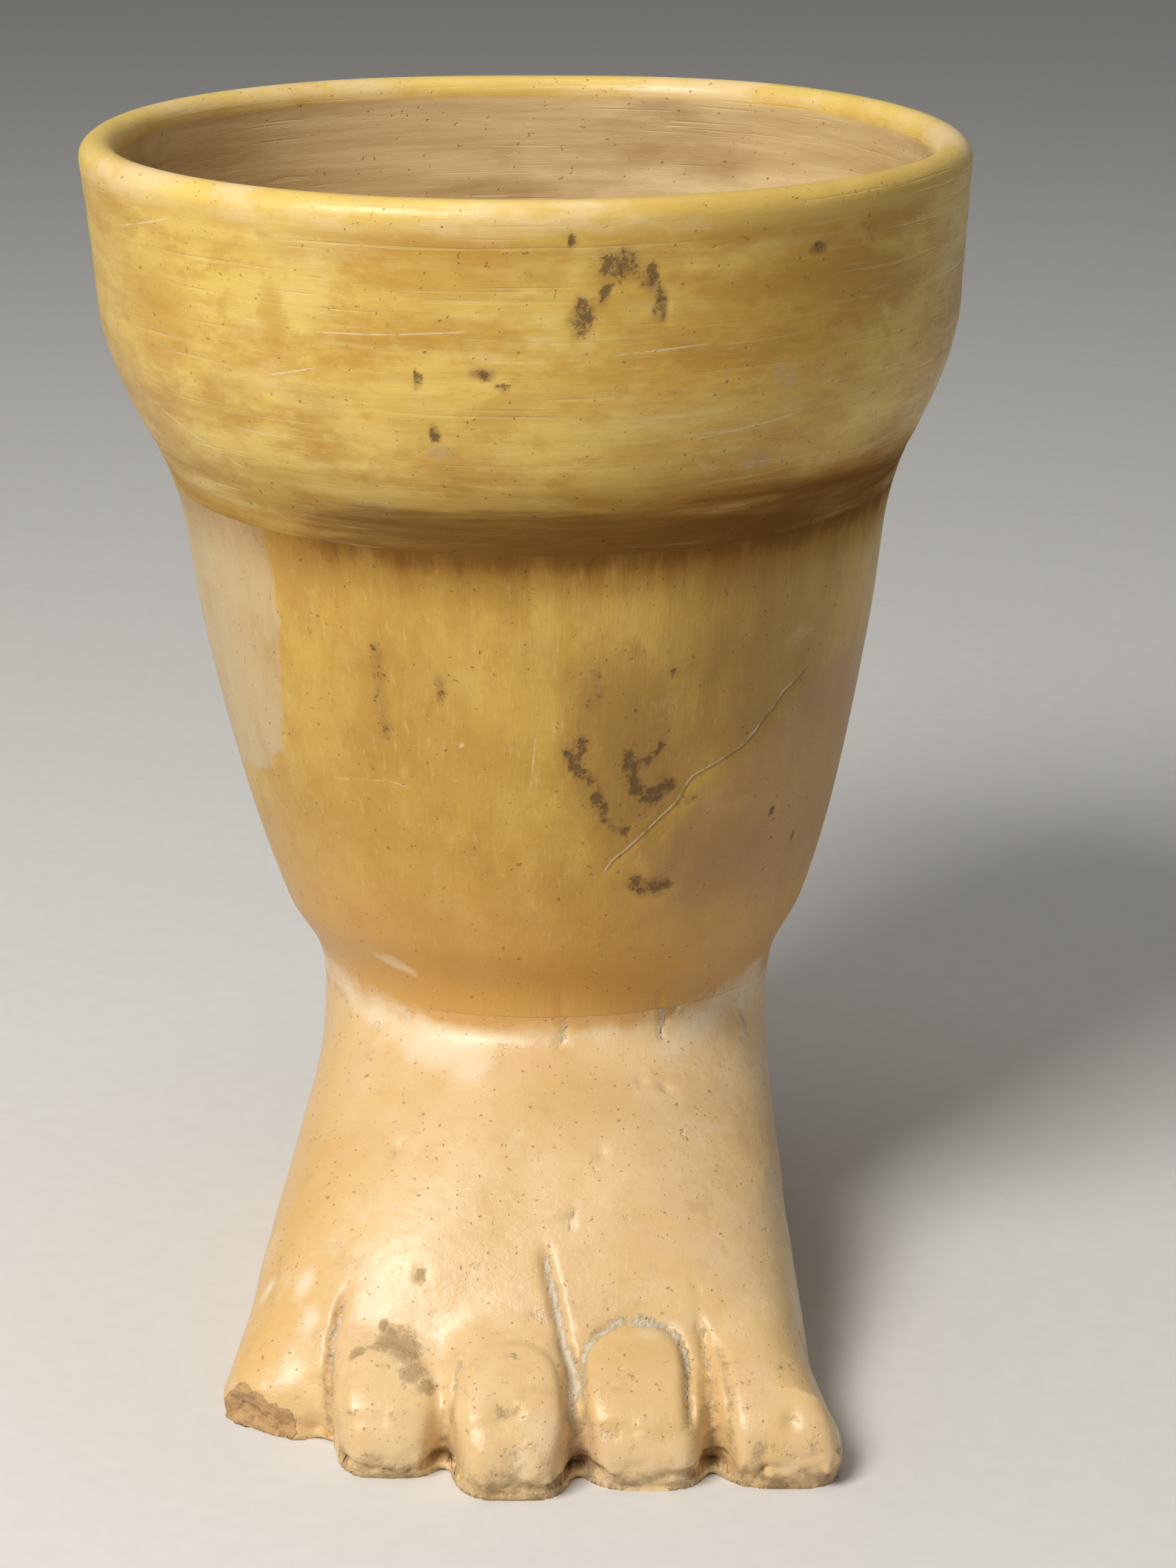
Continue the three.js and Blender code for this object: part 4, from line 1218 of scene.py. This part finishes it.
def foot_levels(sizes, margin, reach, top):
    """Reach to the front and to the back, height and inset of rings from the sole to the ankle."""
    low, ankle, heel_top = sizes.sole_thickness, sizes.ankle_radius + margin, foot_top(sizes)
    root, crest = (reach, low + sizes.toe_root_rise), (ankle + sizes.instep_flat, top)
    instep = bezier((reach, low), root, crest, (ankle, top), FOOT_LEVELS)
    heel_low = sizes.heel_reach + margin
    heel = bezier(
        (heel_low, low),
        (heel_low + sizes.heel_bulge, low + sizes.heel_rise),
        (ankle, heel_top - sizes.heel_rise),
        (ankle, heel_top),
        HEEL_FINENESS * FOOT_LEVELS,
    )
    levels = []
    for front, height in instep:
        back = next((spot.x for spot in heel if spot.y >= height - TOUCHING), ankle)
        levels.append((front, back, height, -margin))
    return levels


def chamber_levels(sizes):
    """Rings of the hollow inside the foot."""
    return foot_levels(sizes, -sizes.wall, CHAMBER_REACH, foot_top(sizes) - sizes.wall)


def drum(levels):
    """A closed drum with one ring for each level; ring k lies at height k, with radius 1."""
    bm = bmesh.new()
    outline = [(0, 0)] + [(1, k) for k in range(levels)] + [(0, levels - 1)]
    corners = [bm.verts.new((radius, 0, height)) for radius, height in outline]
    spun(bm, corners, [bm.edges.new(pair) for pair in zip(corners, corners[1:])], FOOT_TURNS)
    bmesh.ops.remove_doubles(bm, verts=bm.verts, dist=TOUCHING)
    return bm


def foot_body(sizes, levels):
    """A drum moved to the foot's outline."""
    bm = drum(len(levels))
    for vert in bm.verts:
        front, back, height, inset = levels[round(vert.co.z)]
        if math.hypot(vert.co.x, vert.co.y) < 0.5:
            vert.co = (sizes.ankle_shift / 2, 0, height)
        else:
            vert.co = foot_place(sizes, math.atan2(vert.co.y, vert.co.x), front, back, height, inset)
    bmesh.ops.recalc_face_normals(bm, faces=bm.faces)
    return bm


def lobe_place(towards):
    """Where a direction meets a lobe with blunt, full sides."""
    powers = UNDER_SQUARENESS if towards.z < 0 else TOE_SQUARENESS
    near, far = 0.5, 2.0
    for _ in range(HALVINGS):
        middle = (near + far) / 2
        if sum(abs(middle * side) ** power for side, power in zip(towards, powers)) < 1:
            near = middle
        else:
            far = middle
    return towards * near


def add_toe(bm, sizes, toe, left, outer):
    """A rounded lobe in the row that fans out in front of the foot; outer is the side that splays, if any."""
    width, reach, height, tip = toe
    middle_x, middle_y = left + width / 2, reach / 2 - sizes.foot_reach - tip
    ball = bmesh.ops.create_uvsphere(bm, u_segments=TOE_SEGMENTS, v_segments=TOE_RINGS, radius=1)
    seat = sizes.sole_thickness + sizes.toe_seat
    for vert in ball["verts"]:
        share = lobe_place(vert.co)
        y = middle_y + reach / 2 * share.y
        taper = TOE_TAPER * max(share.y, 0) if outer * share.x <= 0 else 0
        x = middle_x + width / 2 * TOE_CROWDING * (1 - taper) * share.x
        x -= (y + sizes.foot_reach) * (FAN_LEAN + FAN_SPREAD * x)
        swell = height - sizes.toe_seat if share.z > 0 else seat
        z = seat + swell * share.z + sizes.toe_droop * share.y
        x -= outer * TOE_SPLAY * max(z - SPLAY_FOOT, 0) * max(outer * share.x, 0)
        vert.co = (x, y, max(z, 0.0))


def fused(context, bm, grain):
    """Fuses overlapping clay into one body with an even grain."""
    mesh = bpy.data.meshes.new("clay_lump")
    bm.to_mesh(mesh)
    bm.free()
    lump = bpy.data.objects.new("clay_lump", mesh)
    context.scene.collection.objects.link(lump)
    knead = lump.modifiers.new("knead", "REMESH")
    knead.mode = "VOXEL"
    knead.voxel_size = grain
    result = bmesh.new()
    result.from_mesh(lump.evaluated_get(context.evaluated_depsgraph_get()).to_mesh())
    bpy.data.objects.remove(lump)
    bpy.data.meshes.remove(mesh)
    return result


def soften(bm, chosen, times):
    """Rubs the chosen clay smooth."""
    verts = [vert for vert in bm.verts if chosen(vert.co / MM)]
    for _ in range(times):
        bmesh.ops.smooth_vert(bm, verts=verts, factor=0.5, use_axis_x=True, use_axis_y=True, use_axis_z=True)


def seen_from_above(path):
    """A path of places, its corners rounded, and the ranges of x and y near it."""
    path = [Vector(point) for point in path]
    rounded = [path[0]]
    for a, b in zip(path, path[1:]):
        rounded += [a.lerp(b, 0.25), a.lerp(b, 0.75)]
    rounded.append(path[-1])
    return rounded, near_ranges(rounded)


def cut_share(offset, inside, half_width):
    """How deep a cut is at a place: full on its line, fading at its ends."""
    return math.exp(-((offset / half_width) ** 2)) * smooth(inside, -0.5, 2.5)


def paint_over(layer, name, strength):
    """Paints a layer where the new strength is the greater."""
    layer[name] = max(layer[name], strength)


def carve_lines(place, cuts, tip, layer):
    """How far the lines swell, sink and notch the clay at one place, in mm; their dirt is painted too."""
    swollen = sunk = notch = 0.0
    flat = place.xy
    ragged = unevenness(place, LINE_WAVES)
    notched = NOTCH_DEPTH * tip * (1 - smooth(place.z, *NOTCH_FADES))
    chalky = blend(0.35, 1.0, smooth(place.z, 7, 15))
    for (path, near), half_width, depth, pale, swell in cuts:
        if not is_near(flat, near):
            continue
        offset, inside = line_offset(flat, path)
        share = cut_share(offset + ragged, inside, half_width)
        sunk += depth * share
        if depth > PARTING:
            notch += notched * cut_share(offset, inside, NOTCH_WIDTH)
        paint_over(layer, "chalk", pale * chalky * share**0.7)
        paint_over(layer, "grime_and_shade", min(depth, 0.5) * cut_share(offset, inside, half_width * 1.6))
        if swell and offset < 0:
            swollen += swell * smooth(-offset, 0, 1.6) * smooth(place.z, 2.5, 5) * smooth(inside, 0, 2)
    return swollen, sunk, notch


def carve_place(place, normal, cuts, layer):
    """The way, in mm, that the clay at one place is cut back."""
    depth = hand_dents(place * MM) / MM
    depth += sum(deep * (1 - noise.noise(place / spread)) for deep, spread in FOOT_DENTS)
    tip = smooth(-place.y, *TIPS)
    sunk, notch = 0.0, TIP_CURL * tip * (1 - smooth(place.z, *CURL_FADES))
    if place.y < CARVED_FROM and place.z > CARVED_OVER:
        swollen, sunk, parted = carve_lines(place, cuts, tip, layer)
        notch += parted
        low_edge = smooth(-place.y, *ROUGH_FRONT) * (1 - smooth(place.z, *ROUGH_FADES))
        rough = 0.5 * noise.noise(place / 1.3) + 1.1 * abs(noise.noise(place / 3.2))
        depth += SLAB_DEPTH * slab_line(place) + low_edge * rough - swollen
    for x, y, radius, pit in FOOT_PITS:
        gap = (place.xy - Vector((x, y))).length / radius
        if gap < PIT_REACH and normal.z > -0.2:
            depth += pit * math.exp(-gap * gap)
            paint_over(layer, "chalk", PIT_CHALK * math.exp(-gap * gap))
            paint_over(layer, "grime_and_shade", PIT_GRIME * math.exp(-gap * gap / PIT_REACH))
    depth *= 1 - smooth(-normal.z, 0.5, 0.85)
    past_break = broken_off(place)
    layer["worn"] = smooth(past_break, -0.4, 0.4)
    return normal * depth + CUT_WAY * sunk + FORWARDS * notch + BREAK_FACING * max(past_break, 0.0)


def paint_place(sizes, place, normal, smears, layer):
    """Paints the slip, the luting, and the grime with painted shade, at one place."""
    flat = place.xy
    paint_over(layer, "chalk", 0.2 * smooth(-place.y, 70, 80))
    # Grime and painted shade on the toes' fronts, darker towards their bottoms
    paint_over(layer, "grime_and_shade", smooth(-place.y, 74, 88) * blend(0.48, 0.26, smooth(place.z, 1.5, 6)))
    # Painted shade on clay that faces down
    paint_over(layer, "grime_and_shade", 0.6 * smooth(-normal.z, 0.5, 0.9))
    for x, y, radius in FOOT_GREY_SPOTS:
        paint_over(layer, "grime_and_shade", 1.0 - (flat - Vector((x, y))).length / radius / 2)
    joint = joint_height(sizes, place.y) - place.z
    layer["luting"] = luted(sizes, smears, degrees_round(place), -joint)
    for x, y, radius in FOOT_PALE_SPOTS:
        paint_over(layer, "luting", 1.5 - (flat - Vector((x, y))).length / radius)
    layer["orange"] = smooth(-place.x, 14, 42) * (1 - 0.6 * smooth(-place.y, 66, 80))
    layer["ochre"] = 1 - smooth(joint, -1.4, 2.8)


def carve_foot(bm, sizes):
    """Cuts the toes and nails, dents, pits and breaks the foot's clay, and paints its layers."""
    layers = {name: bm.verts.layers.float.new(name) for name in FOOT_LAYERS}
    cuts = [(seen_from_above(path), *line, 0.0) for path, line in zip(TOE_LINES, TOE_LINE_CUTS)]
    cuts += [(seen_from_above(path), *line) for path, *line in NAIL_LINES + GOUGES]
    smears = luting_paths(sizes)
    bm.normal_update()
    ways = []
    for vert in bm.verts:
        place = vert.co / MM
        layer = dict.fromkeys(FOOT_LAYERS, 0.0)
        ways.append(carve_place(place, vert.normal, cuts, layer))
        paint_place(sizes, place, vert.normal, smears, layer)
        for name, value in layer.items():
            vert[layers[name]] = value
    for vert, way in zip(bm.verts, ways):
        vert.co -= way * MM


def slab_line(place):
    """Share of the uneven line where the toes' clay was pressed onto the slab, seen on their fronts."""
    height = SLAB_HEIGHT + SLAB_RISE * max(place.x - SLAB_RISES_AT, 0) + unevenness(place, SLAB_WAVES)
    pressed = smooth(noise.noise(place / 5 + Vector((3, 1, 4))), -0.35, 0.2)
    share = math.exp(-(((place.z - height) / SLAB_WIDTH) ** 2))
    return share * smooth(-place.y, *SLAB_FRONT) * pressed


def broken_off(place):
    """How far a place of the little toe lies past the break, in mm."""
    if place.x >= BREAK_SIDE:
        return UNBROKEN
    return (place - BREAK_PLACE).dot(BREAK_FACING) + unevenness(place, BREAK_WAVES)


def toe_root_zone(place, front):
    return front < place.y < ROOT_BACK and place.z > ROOT_LOW


def side_zone(place, inner):
    level = SIDE_LOW < place.z < SIDE_TOP
    return abs(place.x) > inner and SIDE_FRONT < place.y < SIDE_BACK and level


def crease_zone(sizes, place):
    return abs(place.z - joint_height(sizes, place.y)) < CREASE_REACH and place.y > CREASE_FRONT


def rub_smooth(bm, sizes):
    """Rubs the fused clay smooth, most where the pieces were joined."""
    soften(bm, lambda place: True, RUBS)
    for limit in SIDE_LIMITS:
        soften(bm, lambda place: side_zone(place, limit), SIDE_RUBS)
    for limit in ROOT_LIMITS:
        soften(bm, lambda place: toe_root_zone(place, limit), ROOT_RUBS)
    soften(bm, lambda place: crease_zone(sizes, place), CREASE_RUBS)


def carved_foot(context):
    """The whole foot as one body of clay: fused, rubbed smooth and carved."""
    sizes = sizes_of(context)
    levels = foot_levels(sizes, 0, sizes.foot_reach, foot_top(sizes))
    front, back, _, _ = levels[0]
    foot_edge = [(front - SOLE_EDGE, back - SOLE_EDGE, 0, SOLE_EDGE), (front, back, SOLE_EDGE, 0)]
    neck = []
    for radius, height in outer_walls(sizes)[0]:
        if height < sizes.ankle_height + NECK_OVERLAP:
            neck.append((radius, radius, height, sizes.ankle_radius - radius))
    bm = foot_body(sizes, foot_edge + levels + neck)
    left = TOE_SHIFT - row_width(sizes) / 2
    for toe, outer in zip(sizes.toes(), TOES.values()):
        add_toe(bm, sizes, toe, left, outer)
        left += toe[0] + TOE_GAP
    bm = fused(context, bm, FOOT_GRAIN)
    rub_smooth(bm, sizes)
    carve_foot(bm, sizes)
    for vert in bm.verts:
        if vert.co.z < FOOTING:
            vert.co.z = 0
    return bm


def foot_clay(context):
    """A copy of the carved foot, which is made once and kept as a mesh until the pieces are cut from it."""
    kept = bpy.data.meshes.get("foot_clay")
    if kept is None:
        kept = bpy.data.meshes.new("foot_clay")
        whole = carved_foot(context)
        whole.normal_update()
        facing = whole.verts.layers.float_vector.new("facing")
        for vert in whole.verts:
            vert[facing] = vert.normal
        whole.to_mesh(kept)
        whole.free()
    bm = bmesh.new()
    bm.from_mesh(kept)
    return bm


def cut(bm, place, facing, fill=True):
    """Cuts off the clay on the side that the plane faces, and closes the cut."""
    geometry = bm.verts[:] + bm.edges[:] + bm.faces[:]
    plane = {"plane_co": place, "plane_no": facing}
    made = bmesh.ops.bisect_plane(bm, geom=geometry, dist=TOUCHING / 10, clear_outer=True, **plane)
    edges = [part for part in made["geom_cut"] if isinstance(part, bmesh.types.BMEdge)]
    if fill and edges:
        bmesh.ops.triangle_fill(bm, edges=edges, normal=facing)


def root_plane(index):
    """Upright plane behind one toe, facing to the front."""
    (x, y), (next_x, next_y) = TOE_ROOTS[index], TOE_ROOTS[index + 1]
    return Vector((x * MM, y * MM, 0)), Vector((next_y - y, x - next_x, 0)).normalized()


def side_plane(index):
    """Upright plane between one toe and the next, facing to the big toe's side."""
    x, y = TOE_ROOTS[index + 1]
    tip_x, tip_y = TOE_LINES[index][-1]
    return Vector((x * MM, y * MM, 0)), Vector((y - tip_y, tip_x - x, 0)).normalized()


def sole_plane(sizes):
    return Vector((0, 0, sizes.sole_thickness)), Vector((0, 0, 1))


def ankle_plane(sizes, rise):
    """Slanted plane over or under the ankle's joint, facing up."""
    facing = Vector((0, sizes.crease_rise / sizes.ankle_radius, 1)).normalized()
    return Vector((0, 0, sizes.ankle_height + rise)), facing


def chamber(sizes):
    """The hollow inside the foot."""
    levels = chamber_levels(sizes)
    front, back, _, inset = levels[0]
    throat = sizes.ankle_radius - sizes.wall
    neck = (throat, throat, foot_top(sizes) + CHAMBER_NECK, inset)
    return foot_body(sizes, [(front, back, 0, inset)] + levels + [neck])


def hollowed(bm, sizes, planes):
    """Cuts the foot's clay and its hollow at the same planes and closes the rims between them."""
    hollow = chamber(sizes)
    for place, facing in planes:
        cut(bm, place, facing, fill=False)
        cut(hollow, place, facing, fill=False)
    mesh = bpy.data.meshes.new("hollow")
    hollow.to_mesh(mesh)
    hollow.free()
    bm.from_mesh(mesh)
    bpy.data.meshes.remove(mesh)
    for place, facing in planes:
        rims = [edge for edge in bm.edges if edge.is_boundary and on_plane(edge, place, facing)]
        bmesh.ops.triangle_fill(bm, edges=rims, normal=facing)


def on_plane(edge, place, facing):
    return all(abs((vert.co - place).dot(facing)) < TOUCHING for vert in edge.verts)


class VESSEL_OT_luting(bpy.types.Operator):
    """Builds the pale clay rubbed into the ankle's crease"""

    bl_idname = "vessel.luting"
    bl_label = "Luting"

    def execute(self, context):
        sizes = sizes_of(context)
        bm = foot_clay(context)
        place, facing = ankle_plane(sizes, -sizes.luting_half)
        hollowed(bm, sizes, [ankle_plane(sizes, sizes.luting_half), (place, -facing)])
        finish_piece(context, bm, "luting", "rubbed_luting", ["ankle_bead"])
        return {"FINISHED"}


class VESSEL_OT_instep(bpy.types.Operator):
    """Builds the hollow foot from heel to toe roots"""

    bl_idname = "vessel.instep"
    bl_label = "Instep and heel"

    def execute(self, context):
        sizes = sizes_of(context)
        bm = foot_clay(context)
        for index in range(len(TOES)):
            cut(bm, *root_plane(index))
        place, facing = sole_plane(sizes)
        hollowed(bm, sizes, [ankle_plane(sizes, -sizes.luting_half), (place, -facing)])
        finish_piece(context, bm, "instep_and_heel", "peach_slip_worn", ["foot_shell"])
        return {"FINISHED"}


class VESSEL_OT_sole(bpy.types.Operator):
    """Builds the slab under the foot and the toes"""

    bl_idname = "vessel.sole"
    bl_label = "Sole"

    def execute(self, context):
        bm = foot_clay(context)
        cut(bm, *sole_plane(sizes_of(context)))
        finish_piece(context, bm, "sole", "peach_slip_worn", ["sole_slab"])
        return {"FINISHED"}


class VESSEL_OT_toes(bpy.types.Operator):
    """Builds the five toes"""

    bl_idname = "vessel.toes"
    bl_label = "Toes"

    def execute(self, context):
        sizes = sizes_of(context)
        place, facing = sole_plane(sizes)
        for index, name in enumerate(TOES):
            bm = foot_clay(context)
            root, forward = root_plane(index)
            cut(bm, root, -forward)
            if index > 0:
                side, across = side_plane(index - 1)
                cut(bm, side, -across)
            if index < len(TOE_LINES):
                cut(bm, *side_plane(index))
            cut(bm, place, -facing)
            finish_piece(context, bm, name + "_lobe", "peach_slip_worn", [name])
        return {"FINISHED"}


class VESSEL_OT_sole_coil(bpy.types.Operator):
    """Builds the coil pressed into the corner over the sole, inside the foot"""

    bl_idname = "vessel.sole_coil"
    bl_label = "Sole coil"

    def execute(self, context):
        sizes = sizes_of(context)
        low, reach = sizes.sole_thickness, sizes.sole_coil
        sunk = reach * COIL_SINK
        hollow = curve((reach, low), (sunk, low + sunk), (0, low + reach), COIL_STEP)
        outline = [(1 - inset, height) for inset, height in hollow] + [(1, low)]
        bm = turned(outline, [], FOOT_TURNS * 2)
        front, back, _, margin = chamber_levels(sizes)[0]
        for vert in bm.verts:
            inset = 1 - math.hypot(vert.co.x, vert.co.y)
            turn = math.atan2(vert.co.y, vert.co.x)
            spot = foot_place(sizes, turn, front - inset, back - inset, vert.co.z, margin + inset)
            press = SOLE_PRESS * noise.noise(spot / SOLE_SPREAD) * min(inset / reach, 1)
            vert.co = spot + flat_way(spot) * press
        finish_piece(context, bm, "sole_coil", "pressed_clay", ["sole_seam_coil"])
        return {"FINISHED"}


# Stage

# Camera: lens in mm, place in metres, degrees that it looks down, and the nearest that it sees
LENS = 76.52
CAMERA_PLACE = (0.0094, -0.508, 0.2541)
CAMERA_PITCH = 19.3
NEAREST = 0.01
# Lamps: place, what they face, size, power and tint
LAMPS = {
    "key": ((-0.5, -0.6, 0.87), (0, -0.02, 0.09), 0.45, 12.0, (1, 0.97, 0.93)),
    "top": ((-0.05, 0.1, 1.2), (0, 0, 0.1), 0.6, 2.0, (1, 0.98, 0.95)),
}
SKY = {"Color": (1, 0.985, 0.96, 1), "Strength": 0.17}
FLOOR_HALF = 4


def add_lamp(context, name, place, target, size, power, tint):
    """A soft square lamp that faces a place."""
    lamp = bpy.data.lights.new(name, "AREA")
    lamp.size = size
    lamp.energy = power
    lamp.color = tint
    holder = bpy.data.objects.new(name, lamp)
    holder.location = place
    holder.rotation_euler = (Vector(target) - Vector(place)).to_track_quat("-Z", "Y").to_euler()
    context.scene.collection.objects.link(holder)


class VESSEL_OT_stage(bpy.types.Operator):
    """Sets the pale floor, the studio light and the camera"""

    bl_idname = "vessel.stage"
    bl_label = "Stage"

    def execute(self, context):
        scene = context.scene
        scene.view_settings.view_transform = "Standard"
        self.lay_floor(context)
        self.light(context)
        camera = bpy.data.objects.new("camera", bpy.data.cameras.new("camera"))
        camera.data.lens = LENS
        camera.data.clip_start = NEAREST
        camera.location = CAMERA_PLACE
        camera.rotation_euler = (math.radians(90 - CAMERA_PITCH), 0, 0)
        scene.collection.objects.link(camera)
        scene.camera = camera
        return {"FINISHED"}

    def lay_floor(self, context):
        bm = bmesh.new()
        bmesh.ops.create_grid(bm, x_segments=1, y_segments=1, size=FLOOR_HALF)
        mesh = bpy.data.meshes.new("floor")
        bm.to_mesh(mesh)
        bm.free()
        floor = bpy.data.objects.new("floor", mesh)
        paint = ClayPaint("floor_paper")
        grain = paint.clouds(0.004, 3)
        shade = colours_of(context).floor
        tint = paint.coats(shade, (paint.mask(grain, 0.3, 0.7), 1.0, [side * 0.97 for side in shade]))
        mesh.materials.append(paint.finish(tint, paint.scaled(grain, 0.75, 0.9), grain, 0.05 * MM))
        context.scene.collection.objects.link(floor)

    def light(self, context):
        world = bpy.data.worlds.new("studio")
        world.use_nodes = True
        sky = world.node_tree.nodes["Background"]
        for name, value in SKY.items():
            sky.inputs[name].default_value = value
        context.scene.world = world
        for name, lamp in LAMPS.items():
            add_lamp(context, name, *lamp)


class VESSEL_PT_panel(bpy.types.Panel):
    """Lists the vessel's pieces, sizes and colours"""

    bl_label = "Foot-shaped vessel"
    bl_idname = "VESSEL_PT_panel"
    bl_space_type = "VIEW_3D"
    bl_region_type = "UI"
    bl_category = "Vessel"

    def draw(self, context):
        for operator in OPERATORS:
            self.layout.operator(operator.bl_idname)
        for group in (sizes_of(context), colours_of(context)):
            for name in type(group).__annotations__:
                self.layout.prop(group, name)


OPERATORS = (
    VESSEL_OT_lip,
    VESSEL_OT_collar,
    VESSEL_OT_leg,
    VESSEL_OT_luting,
    VESSEL_OT_ankle_coil,
    VESSEL_OT_instep,
    VESSEL_OT_sole,
    VESSEL_OT_toes,
    VESSEL_OT_sole_coil,
    VESSEL_OT_stage,
)
CLASSES = (VesselSizes, VesselColours, *OPERATORS, VESSEL_PT_panel)


def register():
    for kind in CLASSES:
        bpy.utils.register_class(kind)
    bpy.types.Scene.vessel_sizes = PointerProperty(type=VesselSizes)
    bpy.types.Scene.vessel_colours = PointerProperty(type=VesselColours)


def unregister():
    del bpy.types.Scene.vessel_colours
    del bpy.types.Scene.vessel_sizes
    for kind in reversed(CLASSES):
        bpy.utils.unregister_class(kind)


def main():
    register()
    bpy.ops.vessel.lip()
    bpy.ops.vessel.collar()
    bpy.ops.vessel.leg()
    bpy.ops.vessel.luting()
    bpy.ops.vessel.ankle_coil()
    bpy.ops.vessel.instep()
    bpy.ops.vessel.sole()
    bpy.ops.vessel.toes()
    bpy.ops.vessel.sole_coil()
    bpy.ops.vessel.stage()
    bpy.data.meshes.remove(bpy.data.meshes["foot_clay"])


if __name__ == "__main__":
    main()
